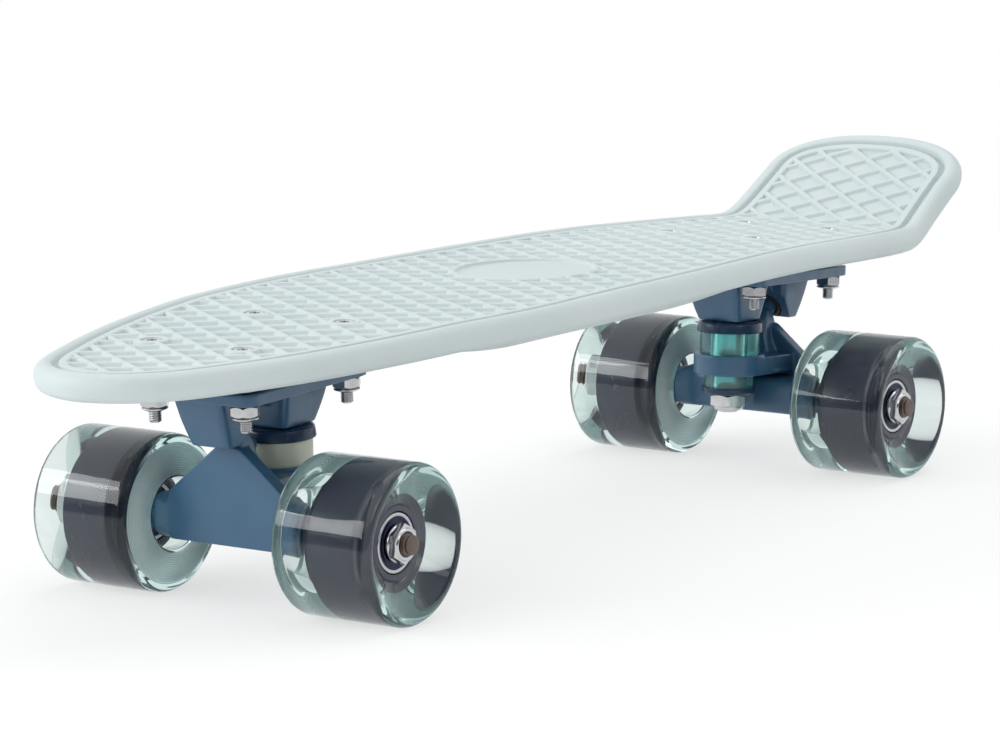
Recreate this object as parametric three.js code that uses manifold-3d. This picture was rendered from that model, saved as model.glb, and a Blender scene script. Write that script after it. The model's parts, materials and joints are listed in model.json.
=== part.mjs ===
// Cruiser skateboard: a moulded deck with a kicked tail on two sprung trucks and four wheels.
// Millimetres. +X points to the nose, +Y to the rider's left, +Z up. Origin: middle of the footprint.

import * as THREE from 'three';
import { mergeVertices } from 'three/addons/utils/BufferGeometryUtils.js';
import Module from 'manifold-3d';

const wasm = await Module();
wasm.setup();

// Clearances
const seatGap = 0.3;
const boreGap = 0.4;
const overrun = 5;

// Deck outline and side view
const deckLength = 559;
const deckWidth = 144;
const tailRound = 30;
const tailRoundShare = 0.87;
const tailRoundSteps = 8;
const deckMidHeight = 97.8;
const noseEndHeight = 92.2;
const noseFlatRun = 31.5;
const noseFlatRise = 0.5;
const midFlatFront = 58;
const midFlatRear = 84;
const kickAngle = THREE.MathUtils.degToRad(29.5);
const kickBendRadius = 20;
const kickStart = 43.5;
const straightInner = 50;
const straightOuter = 34;

// Deck section
const lipDepth = 5.7;
const crownHeight = 5.3;
const ridgeHeight = 4.4;
const crownInset = 4.4;
const lipRound = 1.4;
const lipFootInset = 4;
const grooveInset = 8;
const grooveWidth = 2.4;
const grooveDepth = 1.6;
const grooveFloorShare = 0.55;
const bellyDepth = 12.5;
const truckBellyDepth = 5;
const bellyRun = 60;
const bellyRunOut = 30;

// Smooth oval on the deck top
const ovalLength = 60;
const ovalWidth = 51;
const ovalDepth = 1.2;
const ovalForward = 5;
const ovalBorder = 2.5;

// Waffle on the deck top: diamond pits between crossing ridges, lined up with the bolts
const waffleDepth = 1.5;
const waffleRidge = 2.3;
const waffleRidgeFoot = 3.3;
const waffleBorder = 3;
const waffleLeast = 1.5;
const waffleAlongShare = 2 / 9;
const boltPadDiameter = 13;

// Trucks on the deck
const wheelbase = 350;
const axlesForward = 8;
const plateTilt = THREE.MathUtils.degToRad(2.4);
const ridgeLevel = 69.95;
const padLevel = 54.3;
const padMargin = 2;
const padRoot = 5;
const boltInner = 36.6;
const boltOuter = 22.9;
const boltSpread = 41.3;

// Baseplate
const plateThickness = 4.2;
const plateInner = 42.6;
const plateOuter = 29;
const plateWidth = 55;
const plateCorner = 4;
const housingCorner = 2.5;
const kingpinHousing = { level: 32.9, inner: 32.3, outer: -13, half: 10 };
const kingpinHousingRoot = { inner: 38.6, outer: -11, half: 13.5 };
const pivotHousing = { level: 31.5, inner: -5, outer: 18.6, half: 8.8 };
const pivotHousingRoot = { inner: -3, outer: 25.5, half: 11.5 };
const webHalf = 4.5;
const webLevel = 42;

// Kingpin and what it clamps
const kingpinOffset = 21.9;
const kingpinDiameter = 9.5;
const kingpinEnd = 6.2;
const kingpinHeadAcross = 14.3;
const kingpinHeadHeight = 4.7;
const kingpinNutAcross = 14.3;
const kingpinNutHeight = 6.5;
const cupWall = 1.1;
const upperCupDiameter = 27.7;
const upperCupHeight = 4.8;
const upperCupPlate = 2.4;
const lowerCupDiameter = 23;
const lowerCupHeight = 2.9;
const lowerCupPlate = 1.4;
const upperBushingDiameter = 24.7;
const lowerBushingDiameter = 20.2;
const bushingRound = 1.2;
const lowerBushingShare = 0.62;

// Hanger
const ringLevel = 10;
const ringHeight = 8.8;
const ringDiameter = 29.8;
const ringBore = 16;
const ringSeat = 1;
const ringRecess = 27;
const hangerHalf = 33;
const hangerFace = 8.3;
const hangerBack = 9.4;
const hangerLow = 7.3;
const hangerHigh = 10.9;
const hangerApex = 29.8;
const hangerApexHalf = 6.5;
const facePlate = 6;
const beamHeight = 15.5;
const beamCorner = 3;
const collarDiameter = 14.4;
const bridgeHalf = 17;
const bridgeHeight = 7.6;
const finHalf = 4;
const finInnerLow = 10;
const finWaist = 3.2;
const finWaistLevel = 22;
const finTopInner = 1.4;
const finTopLevel = 32;
const finCrest = 36;
const finCrestOuter = 5;

// Steering pivot
const steerAngle = THREE.MathUtils.degToRad(36);
const pivotStemDiameter = 7.6;
const pivotStemStart = 24;
const pivotMouth = 37;
const pivotCupLength = 9;
const pivotCupFloor = 1;
const pivotCupDiameter = 11.6;
const pivotRound = 1;
const mouthCut = { length: 10, half: 12, width: 30 };

// Axle, bearings and wheels
const axleDiameter = 8;
const axleLength = 151.4;
const axleRound = 0.6;
const wheelDiameter = 59;
const wheelWidth = 43;
const wheelPlace = 55.2;
const tyreLip = 2.4;
const tyreLipFlat = 1.6;
const tyreDish = 7;
const tyreRim = 25.5;
const coreWidth = 26;
const coreFlangeDiameter = 40;
const coreFlangeInboard = 8.9;
const coreFlangeOutboard = 11;
const coreBossDiameter = 27;
const coreBore = 19;
const bearingDiameter = 22;
const bearingWidth = 7;
const bearingOuterRing = 1.5;
const shieldRecess = 0.4;
const innerRaceDiameter = 12.4;
const spacerDiameter = 10.4;
const speedWasher = 1;
const axleNutAcross = 13;
const axleNutHeight = 5.8;
const axleNutFlange = 14.6;
const axleNutFlangeHeight = 1.2;

// Deck bolts and nuts
const boltDiameter = 4.8;
const boltHeadDiameter = 7.4;
const boltHeadHeight = 2.8;
const boltSocketAcross = 3.2;
const boltSocketDepth = 1.6;
const boltTip = 39.6;
const boltNutAcross = 9.6;
const boltNutHeight = 3.4;
const boltCollarDiameter = 8.4;
const boltCollarHeight = 1.9;

// Number of flats on the round pieces
const wheelSides = 24;
const coreSides = 16;
const bearingSides = 14;
const bushingSides = 16;
const pinSides = 10;
const holeSides = 8;
const arcSteps = 3;
const ovalSides = 40;

// Half outline, nose tip to the tail's rounded end: share of the length, share of the half width.
const outlineShares = [
  [0, 0], [0.0045, 0.167], [0.016, 0.32], [0.036, 0.45], [0.078, 0.6], [0.128, 0.74],
  [0.19, 0.862], [0.262, 0.953], [0.345, 1], [0.45, 0.968], [0.55, 0.937], [0.64, 0.892],
  [0.72, 0.845], [0.79, 0.8], [0.8435, 0.757], [0.883, 0.706], [0.912, 0.68], [0.945, 0.667],
];
const outlineSteps = 2;

// Across the underside: share of the half width, share of the belly depth.
const bellyShares = [[1, 0], [0.72, 0.6], [0.42, 1], [-0.42, 1], [-0.72, 0.6], [-1, 0]];

const paint = (name, color, roughness, metalness) => (
  new THREE.MeshStandardMaterial({ name, color, roughness, metalness })
);
const materials = {
  deck: paint('deck_plastic', 0xc9d8d8, 0.45, 0),
  truck: paint('blue_painted_metal', 0x3f6485, 0.4, 0.3),
  urethane: paint('wheel_urethane', 0xa9cfcb, 0.2, 0),
  core: paint('core_plastic', 0x2c2a2c, 0.35, 0),
  steel: paint('bright_steel', 0xd9dadb, 0.22, 1),
  shield: paint('bearing_shield', 0x4a4f86, 0.35, 0.3),
  frontBushing: paint('front_bushing_urethane', 0xd8dfcf, 0.4, 0),
  rearBushing: paint('rear_bushing_urethane', 0x35b5a5, 0.25, 0),
  pivotCup: paint('pivot_cup_urethane', 0x2b211c, 0.5, 0),
};

// Solids: a closed three.js geometry goes in, is cut or joined, and comes back as a geometry.
// Triangles that share a number in faceID are kept as one flat face, cut by as few edges as it needs.
function toSolid(geometry, faceID) {
  const bare = geometry.clone();
  bare.deleteAttribute('normal');
  bare.deleteAttribute('uv');
  const merged = mergeVertices(bare.index ? bare.toNonIndexed() : bare, 1e-4);
  return new wasm.Manifold(new wasm.Mesh({
    numProp: 3,
    vertProperties: new Float32Array(merged.attributes.position.array),
    triVerts: new Uint32Array(merged.index.array),
    ...(faceID && { faceID }),
  }));
}

function toGeometry(solid) {
  const mesh = solid.getMesh();
  const geometry = new THREE.BufferGeometry();
  geometry.setAttribute('position', new THREE.BufferAttribute(mesh.vertProperties, 3));
  geometry.setIndex(new THREE.BufferAttribute(mesh.triVerts, 1));
  geometry.computeVertexNormals();
  return geometry;
}

function combine(added, cut = []) {
  let solid = toSolid(added[0]);
  for (const geometry of added.slice(1)) solid = solid.add(toSolid(geometry));
  for (const geometry of cut) solid = solid.subtract(toSolid(geometry));
  return toGeometry(solid);
}

function addPiece(parent, name, geometry, material) {
  const mesh = new THREE.Mesh(geometry, material.clone());
  mesh.name = name;
  parent.add(mesh);
  return mesh;
}

// A body of revolution round the Y axis; its profile runs anticlockwise in radius and height.
function turned(profile, sides) {
  const points = profile.map(([radius, height]) => new THREE.Vector2(radius, height));
  return new THREE.LatheGeometry(points, sides, Math.PI / sides);
}

// The same, stood up so that its axis is Z.
const turnedUp = (profile, sides) => turned(profile, sides).rotateX(Math.PI / 2);

const rodProfile = (radius, low, high) => [[0, low], [radius, low], [radius, high], [0, high]];
const rodUp = (radius, low, high, sides = pinSides) => turnedUp(rodProfile(radius, low, high), sides);

function hexUp(across, low, high) {
  return rodUp(across / 2 / Math.cos(Math.PI / 6), low, high, 6);
}

// An outline in X and Y, raised from one level to another.
function raised(outline, low, high) {
  const shape = outline instanceof THREE.Shape ? outline : new THREE.Shape(outline);
  return new THREE.ExtrudeGeometry(shape, { depth: high - low, bevelEnabled: false, curveSegments: arcSteps })
    .translate(0, 0, low);
}

// A side view in X and Z, drawn out evenly to both sides of Y.
function drawnOut(outline, half) {
  const shape = outline instanceof THREE.Shape ? outline : new THREE.Shape(outline);
  return new THREE.ExtrudeGeometry(shape, { depth: half * 2, bevelEnabled: false, curveSegments: arcSteps })
    .translate(0, 0, -half)
    .rotateX(Math.PI / 2);
}

function roundedOutline(x0, x1, half, radius) {
  const shape = new THREE.Shape();
  shape.moveTo(x0 + radius, -half);
  shape.absarc(x1 - radius, -half + radius, radius, -Math.PI / 2, 0);
  shape.absarc(x1 - radius, half - radius, radius, 0, Math.PI / 2);
  shape.absarc(x0 + radius, half - radius, radius, Math.PI / 2, Math.PI);
  shape.absarc(x0 + radius, -half + radius, radius, Math.PI, Math.PI * 1.5);
  return shape;
}

// A closed skin over rings of points: rings[0] is capped below, the last ring above.
function skinned(rings, capLow, capHigh) {
  const count = rings[0].length;
  const points = rings.flat();
  const index = [];
  for (let r = 0; r + 1 < rings.length; r += 1) {
    for (let k = 0; k < count; k += 1) {
      const a = r * count + k;
      const b = r * count + (k + 1) % count;
      index.push(a, b, b + count, a, b + count, a + count);
    }
  }
  capLow(index, 0);
  capHigh(index, (rings.length - 1) * count);
  const geometry = new THREE.BufferGeometry().setFromPoints(points);
  geometry.setIndex(index);
  return geometry;
}

// A housing that widens from its foot to its root, with round corners.
function tapered(foot, root, rootLevel) {
  const ring = (at, level) => {
    const outline = roundedOutline(-at.inner, at.outer, at.half, housingCorner);
    const points = outline.getPoints(arcSteps).slice(0, -1);
    return points.map((p) => new THREE.Vector3(p.x, p.y, level));
  };
  const low = ring(foot, foot.level);
  const fan = (index, start, up) => {
    for (let k = 1; k + 1 < low.length; k += 1) {
      index.push(start, ...(up ? [start + k, start + k + 1] : [start + k + 1, start + k]));
    }
  };
  return skinned(
    [low, ring(root, rootLevel)],
    (index, start) => fan(index, start, false),
    (index, start) => fan(index, start, true),
  );
}

// Where the trucks sit: x runs outward from the axle, z up from it, and the plate dips outward.
const axleHeight = wheelDiameter / 2;
const truckMatrix = (x, turn) => (
  new THREE.Matrix4().makeTranslation(x, 0, axleHeight)
    .multiply(new THREE.Matrix4().makeRotationZ(turn))
    .multiply(new THREE.Matrix4().makeRotationY(plateTilt))
);
const trucks = [
  { name: 'front', x: axlesForward + wheelbase / 2, turn: 0, bushing: materials.frontBushing },
  { name: 'rear', x: axlesForward - wheelbase / 2, turn: Math.PI, bushing: materials.rearBushing },
];
for (const truck of trucks) truck.matrix = truckMatrix(truck.x, truck.turn);
const boltPlaces = [-boltInner, boltOuter].flatMap((x) => [-1, 1].map((side) => [x, side * boltSpread / 2]));

// Side view of the deck: the line through the middle of its lip, nose to tail.
const lipLine = (() => {
  const level = ridgeLevel - ridgeHeight;
  const seat = (truck, x) => new THREE.Vector3(x, 0, level).applyMatrix4(truck.matrix);
  const [front, rear] = trucks;
  const kickFoot = seat(rear, kickStart);
  const points = [
    [deckLength / 2, noseEndHeight],
    [deckLength / 2 - noseFlatRun, noseEndHeight + noseFlatRise],
    ...[seat(front, straightOuter), seat(front, -straightInner)].map((p) => [p.x, p.z]),
    [midFlatFront, deckMidHeight],
    [-midFlatRear, deckMidHeight],
    ...[seat(rear, -straightInner), kickFoot].map((p) => [p.x, p.z]),
  ];
  const bendSteps = 4;
  const turn = kickAngle + plateTilt;
  for (let k = 1; k <= bendSteps; k += 1) {
    const angle = turn * k / bendSteps - plateTilt;
    points.push([
      kickFoot.x - kickBendRadius * (Math.sin(angle) + Math.sin(plateTilt)),
      kickFoot.z + kickBendRadius * (Math.cos(plateTilt) - Math.cos(angle)),
    ]);
  }
  const [bendX, bendZ] = points[points.length - 1];
  // The foot of the sloping tail end reaches furthest back, so the line stops short of it.
  const reach = (lipDepth - lipRound) * Math.sin(kickAngle) - lipRound * Math.cos(kickAngle);
  const run = bendX + deckLength / 2 - reach;
  points.push([bendX - run, bendZ + run * Math.tan(kickAngle)]);
  return points.map(([x, z]) => new THREE.Vector2(x, z));
})();

// Distance along the lip line, from the nose, of the place at this X.
function alongAt(x) {
  let along = 0;
  for (let k = 0; k + 1 < lipLine.length; k += 1) {
    const [a, b] = [lipLine[k], lipLine[k + 1]];
    const last = k + 2 === lipLine.length;
    if (x >= b.x || last) return along + a.distanceTo(b) * (a.x - x) / (a.x - b.x);
    along += a.distanceTo(b);
  }
  return along;
}

// Which straight stretch of the lip line this distance falls in, and how far into it.
function stretchAt(along) {
  let rest = along;
  let k = 0;
  while (k + 2 < lipLine.length && rest > lipLine[k].distanceTo(lipLine[k + 1])) {
    rest -= lipLine[k].distanceTo(lipLine[k + 1]);
    k += 1;
  }
  return { k, rest };
}

// The deck is drawn flat and then bent. Drawn flat, -X is the distance along the lip line and
// Z the height above it.
const flat = (along, y, height) => new THREE.Vector3(-along, y, height);

function bent(point) {
  const { k, rest } = stretchAt(-point.x);
  const way = lipLine[k + 1].clone().sub(lipLine[k]).normalize();
  const at = lipLine[k].clone().addScaledVector(way, rest);
  return new THREE.Vector3(at.x + way.y * point.z, point.y, at.y - way.x * point.z);
}

// Flat outline of the deck, anticlockwise from the nose tip over the left side, with its normals.
const flatOutline = (() => {
  const half = outlineShares.map(([x, w]) => (
    new THREE.Vector3(alongAt(deckLength / 2 - x * deckLength), w * deckWidth / 2, 0)
  ));
  const mirrored = half.slice(1).reverse().map((p) => new THREE.Vector3(p.x, -p.y, 0));
  const curve = new THREE.CatmullRomCurve3([...mirrored, ...half]);
  const count = (half.length - 1) * outlineSteps;
  const left = [];
  for (let k = 0; k <= count; k += 1) {
    const p = curve.getPoint(0.5 + k / count / 2);
    left.push(new THREE.Vector2(p.x, Math.max(p.y, 0)));
  }
  left[0].y = 0;
  const end = alongAt(lipLine[lipLine.length - 1].x);
  const tailHalf = left[left.length - 1].y;
  for (let k = 0; k < tailRoundSteps; k += 1) {
    const angle = Math.PI / 2 * k / tailRoundSteps;
    const reach = Math.sin(angle) ** tailRoundShare;
    const across = Math.cos(angle) ** tailRoundShare;
    left.push(new THREE.Vector2(end - tailRound + tailRound * reach, tailHalf * across));
  }
  left.push(new THREE.Vector2(end, 0));
  return left;
})();

// The outline moved in by one distance, as a full loop: left side, tail, right side, nose.
function insetLoop(inset) {
  const half = flatOutline;
  const last = half.length - 1;
  const moved = half.map((p, k) => {
    if (k === 0) return new THREE.Vector2(p.x + inset, 0);
    if (k === last) return new THREE.Vector2(p.x - inset, 0);
    const next = half[k + 1];
    const prev = half[k - 1];
    const way = next.clone().sub(prev).normalize();
    return new THREE.Vector2(p.x - inset * -way.y, p.y - inset * way.x);
  });
  const right = moved.slice(1, last).reverse().map((p) => new THREE.Vector2(p.x, -p.y));
  return [...moved, ...right];
}

// Depth of the belly below the lip at this distance along the deck.
const bellyLine = (() => {
  const [front, rear] = trucks.map((truck) => truck.x);
  return [
    [front + straightOuter + bellyRunOut, 0],
    [front + straightOuter, truckBellyDepth],
    [front - straightInner, truckBellyDepth],
    [front - straightInner - bellyRun, bellyDepth],
    [rear + straightInner + bellyRun, bellyDepth],
    [rear + straightInner, truckBellyDepth],
    [rear - straightOuter, truckBellyDepth],
    [rear - kickStart, 0],
  ];
})();

function bellyAt(along) {
  const { x } = bent(flat(along, 0, 0));
  if (x >= bellyLine[0][0]) return 0;
  for (let k = 0; k + 1 < bellyLine.length; k += 1) {
    const [[x0, d0], [x1, d1]] = [bellyLine[k], bellyLine[k + 1]];
    if (x >= x1) return THREE.MathUtils.mapLinear(x, x0, x1, d0, d1);
  }
  return 0;
}

function deckBody() {
  const grooveHalf = grooveWidth / 2;
  const floorHalf = grooveHalf * grooveFloorShare;
  const grooveFloor = ridgeHeight - grooveDepth;
  const profile = [
    [grooveInset + grooveHalf, ridgeHeight],
    [grooveInset + floorHalf, grooveFloor],
    [grooveInset - floorHalf, grooveFloor],
    [grooveInset - grooveHalf, ridgeHeight],
    [crownInset, crownHeight],
    [lipRound, crownHeight - lipRound],
    [0, 0],
    [lipRound, -lipDepth + lipRound],
    [lipFootInset, -lipDepth],
    [grooveInset, -lipDepth],
  ];
  const loops = profile.map(([inset]) => insetLoop(inset));
  const rings = profile.map(([, height], r) => loops[r].map((p) => flat(p.x, p.y, height)));
  const last = flatOutline.length - 1;
  const around = rings[0].length;
  const mirror = (k) => (k === 0 || k === last ? k : around - k);
  const points = rings.flat();
  const index = [];
  for (let r = 0; r + 1 < rings.length; r += 1) {
    for (let k = 0; k < around; k += 1) {
      const a = r * around + k;
      const b = r * around + (k + 1) % around;
      index.push(a, a + around, b + around, a, b + around, b);
    }
  }
  // Top: one strip between each left point and the right point across from it.
  // Strips on one straight stretch of the lip line make one flat face.
  const faces = [];
  const strip = (a, b, c, d, face) => {
    if (a !== d) faces[index.push(a, c, d) / 3 - 1] = face;
    if (b !== c) faces[index.push(a, b, c) / 3 - 1] = face;
  };
  for (let k = 0; k < last; k += 1) {
    const [from, to] = [k, k + 1].map((end) => stretchAt(loops[0][end].x).k);
    strip(k, k + 1, mirror(k + 1), mirror(k), from === to ? from : lipLine.length + k);
  }
  // Underside: strips over the belly, lengthwise cut by the columns of bellyShares.
  const foot = (rings.length - 1) * around;
  const lower = loops[loops.length - 1];
  const rows = [];
  for (let k = 0; k <= last; k += 1) {
    const { x, y } = lower[k];
    if (k === 0 || k === last) {
      rows.push(bellyShares.map(() => foot + k));
    } else {
      const depth = bellyAt(x);
      rows.push(bellyShares.map(([across, deep], c) => {
        if (c === 0) return foot + k;
        if (c === bellyShares.length - 1) return foot + mirror(k);
        points.push(flat(x, y * across, -lipDepth - depth * deep));
        return points.length - 1;
      }));
    }
  }
  for (let k = 0; k < last; k += 1) {
    for (let c = 0; c + 1 < bellyShares.length; c += 1) {
      const [a, b, d, e] = [rows[k][c], rows[k][c + 1], rows[k + 1][c + 1], rows[k + 1][c]];
      if (a !== b) index.push(a, b, d);
      if (d !== e) index.push(a, d, e);
    }
  }
  const geometry = new THREE.BufferGeometry().setFromPoints(points);
  geometry.setIndex(index);
  const firstFree = lipLine.length + last;
  const numbers = Array.from({ length: index.length / 3 }, (_, k) => faces[k] ?? firstFree + k);
  return toSolid(geometry, Uint32Array.from(numbers));
}

// Distance along the lip line of the bolts at this place on a truck.
function boltAlong(truck, x) {
  return alongAt(new THREE.Vector3(x, 0, ridgeLevel).applyMatrix4(truck.matrix).x);
}

function ovalShape(grow) {
  const path = new THREE.Path().absellipse(0, 0, ovalLength / 2 + grow, ovalWidth / 2 + grow, 0, Math.PI * 2);
  return new THREE.Shape(path.getPoints(ovalSides).slice(0, -1));
}

// All the pits of the waffle, as one cutter for the flat deck.
function waffleCutter() {
  const low = ridgeHeight - waffleDepth;
  const over = ridgeHeight + overrun;
  const border = grooveInset + grooveWidth / 2 + waffleBorder;
  const edge = insetLoop(border).map((p) => new THREE.Vector2(-p.x, p.y));
  const along = (boltInner + boltOuter) * waffleAlongShare;
  const across = boltSpread / 2;
  const toSide = along * across / 4 / Math.hypot(along / 2, across / 2);
  const ring = (height) => {
    const ridge = THREE.MathUtils.mapLinear(height, low, ridgeHeight, waffleRidgeFoot, waffleRidge);
    const share = 1 - ridge / 2 / toSide;
    return [[1, 0], [0, 1], [-1, 0], [0, -1]].map(([i, j]) => (
      new THREE.Vector3(i * share * along / 2, j * share * across / 2, height)
    ));
  };
  const pit = skinned(
    [ring(low), ring(ridgeHeight + waffleDepth)],
    (index, k) => index.push(k, k + 2, k + 1, k, k + 3, k + 2),
    (index, k) => index.push(k, k + 1, k + 2, k, k + 2, k + 3),
  );
  const start = boltAlong(trucks[0], -boltInner);
  const end = flatOutline[flatOutline.length - 1].x;
  const inner = insetLoop(border + waffleLeast);
  const halfAt = (place) => {
    const k = inner.findIndex((p, n) => n + 1 < inner.length && p.x <= place && inner[n + 1].x > place);
    if (k < 0) return -1;
    return THREE.MathUtils.mapLinear(place, inner[k].x, inner[k + 1].x, inner[k].y, inner[k + 1].y);
  };
  const bolts = trucks.flatMap((truck) => (
    boltPlaces.map(([x, y]) => new THREE.Vector2(boltAlong(truck, x), y))
  ));
  const pits = [];
  for (let row = Math.ceil(-start / along * 2); start + row * along / 2 < end; row += 1) {
    const place = start + row * along / 2;
    for (let column = Math.abs(row % 2); column * across / 2 < halfAt(place); column += 2) {
      for (const side of column === 0 ? [1] : [1, -1]) {
        const centre = new THREE.Vector2(place, side * column * across / 2);
        if (bolts.some((bolt) => bolt.distanceTo(centre) < along / 4)) continue;
        pits.push(toSolid(pit.clone().translate(-centre.x, centre.y, 0)));
      }
    }
  }
  let cutter = wasm.Manifold.union(pits).intersect(toSolid(raised(edge, low - overrun, over)));
  cutter = cutter.subtract(toSolid(
    raised(ovalShape(ovalBorder), low - overrun, over + overrun).translate(-alongAt(ovalForward), 0, 0),
  ));
  for (const bolt of bolts) {
    const pad = rodUp(boltPadDiameter / 2, low - overrun, over + overrun, holeSides);
    cutter = cutter.subtract(toSolid(pad.translate(-bolt.x, bolt.y, 0)));
  }
  return cutter;
}

function deckGeometry() {
  const whole = toGeometry(deckBody().subtract(waffleCutter()));
  const corners = whole.attributes.position;
  for (let k = 0; k < corners.count; k += 1) {
    const corner = bent(new THREE.Vector3().fromBufferAttribute(corners, k));
    corners.setXYZ(k, corner.x, corner.y, corner.z);
  }
  const added = [whole];
  const cut = [];
  const top = deckMidHeight + ridgeHeight;
  cut.push(raised(ovalShape(0), top - ovalDepth, top + overrun).translate(ovalForward, 0, 0));
  for (const truck of trucks) {
    const outline = roundedOutline(
      -plateInner - padMargin, plateOuter + padMargin, plateWidth / 2 + padMargin, plateCorner,
    );
    added.push(raised(outline, padLevel, padLevel + padRoot).applyMatrix4(truck.matrix));
    for (const [x, y] of boltPlaces) {
      const hole = rodUp(boltDiameter / 2 + boreGap, padLevel - overrun, ridgeLevel + overrun, holeSides);
      const floor = ridgeLevel - boltHeadHeight - seatGap;
      const recess = rodUp(boltHeadDiameter / 2 + boreGap, floor, ridgeLevel + overrun, holeSides);
      cut.push(hole.translate(x, y, 0).applyMatrix4(truck.matrix));
      cut.push(recess.translate(x, y, 0).applyMatrix4(truck.matrix));
    }
  }
  return combine(added, cut);
}

// Places along the steering axis, measured from the middle of the yoke ring.
const ringMiddle = new THREE.Vector3(-kingpinOffset, 0, ringLevel + ringHeight / 2);
function onSteering(geometry) {
  return geometry.rotateY(Math.PI / 2 - steerAngle).translate(ringMiddle.x, 0, ringMiddle.z);
}

function baseplateGeometry() {
  const top = padLevel - seatGap;
  const under = top - plateThickness;
  const rootLevel = under + plateThickness / 2;
  const web = roundedOutline(-kingpinOffset, boltOuter - pivotHousing.half, webHalf, housingCorner);
  const added = [
    raised(roundedOutline(-plateInner, plateOuter, plateWidth / 2, plateCorner), under, top),
    tapered(kingpinHousing, kingpinHousingRoot, rootLevel),
    tapered(pivotHousing, pivotHousingRoot, rootLevel),
    raised(web, webLevel, rootLevel),
  ];
  const socket = rodUp(
    pivotCupDiameter / 2 + seatGap, pivotMouth - mouthCut.length, pivotMouth + pivotCupLength + seatGap,
  );
  const mouth = new THREE.BoxGeometry(mouthCut.half * 2, mouthCut.width, mouthCut.length)
    .translate(0, 0, pivotMouth - mouthCut.length / 2);
  const cut = [
    onSteering(socket),
    onSteering(mouth),
    rodUp(kingpinDiameter / 2 + seatGap, 0, top + overrun, pinSides).translate(-kingpinOffset, 0, 0),
    hexUp(kingpinHeadAcross + seatGap * 2, top - kingpinHeadHeight - seatGap * 2, top + overrun)
      .translate(-kingpinOffset, 0, 0),
    ...boltPlaces.map(([x, y]) => (
      rodUp(boltDiameter / 2 + boreGap, under - overrun, top + overrun, holeSides).translate(x, y, 0)
    )),
  ];
  return combine(added, cut);
}

function kingpinGeometry() {
  const top = padLevel - seatGap * 2;
  return combine([
    rodUp(kingpinDiameter / 2, -kingpinEnd, top - kingpinHeadHeight / 2),
    hexUp(kingpinHeadAcross, top - kingpinHeadHeight, top),
  ]).translate(-kingpinOffset, 0, 0);
}

// Heights of the stack on the kingpin, from the housing down to the nut.
const stack = (() => {
  const ringTop = ringLevel + ringHeight;
  const upperCupTop = kingpinHousing.level - seatGap;
  const upperCupLow = upperCupTop - upperCupHeight;
  const lowerCupTop = ringLevel - (upperCupLow - ringTop) * lowerBushingShare;
  return {
    upperCupTop,
    upperCupLow,
    upperBushingTop: upperCupTop - upperCupPlate - seatGap,
    upperBushingLow: ringTop - ringSeat + seatGap,
    lowerBushingTop: ringLevel + ringSeat - seatGap,
    lowerCupTop,
    lowerCupLow: lowerCupTop - lowerCupHeight,
    lowerBushingLow: lowerCupTop - lowerCupHeight + lowerCupPlate + seatGap,
  };
})();

function bushingGeometry(diameter, low, high) {
  const bore = kingpinDiameter / 2 + boreGap;
  const radius = diameter / 2;
  return turnedUp([
    [bore, low], [radius - bushingRound, low], [radius, low + bushingRound],
    [radius, high - bushingRound], [radius - bushingRound, high], [bore, high], [bore, low],
  ], bushingSides).translate(-kingpinOffset, 0, 0);
}

// A cup washer; sense is 1 where the cup opens upward and -1 where it opens downward.
function cupWasherGeometry(diameter, bushing, floor, plate, height, sense) {
  const bore = kingpinDiameter / 2 + boreGap;
  const radius = diameter / 2;
  const inside = bushing / 2 + boreGap;
  const profile = [
    [bore, 0], [radius - cupWall, 0], [radius, cupWall], [radius, height],
    [inside, height], [inside, plate], [bore, plate], [bore, 0],
  ].map(([r, h]) => [r, floor + sense * h]);
  if (sense < 0) profile.reverse();
  return turnedUp(profile, bushingSides).translate(-kingpinOffset, 0, 0);
}

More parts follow.
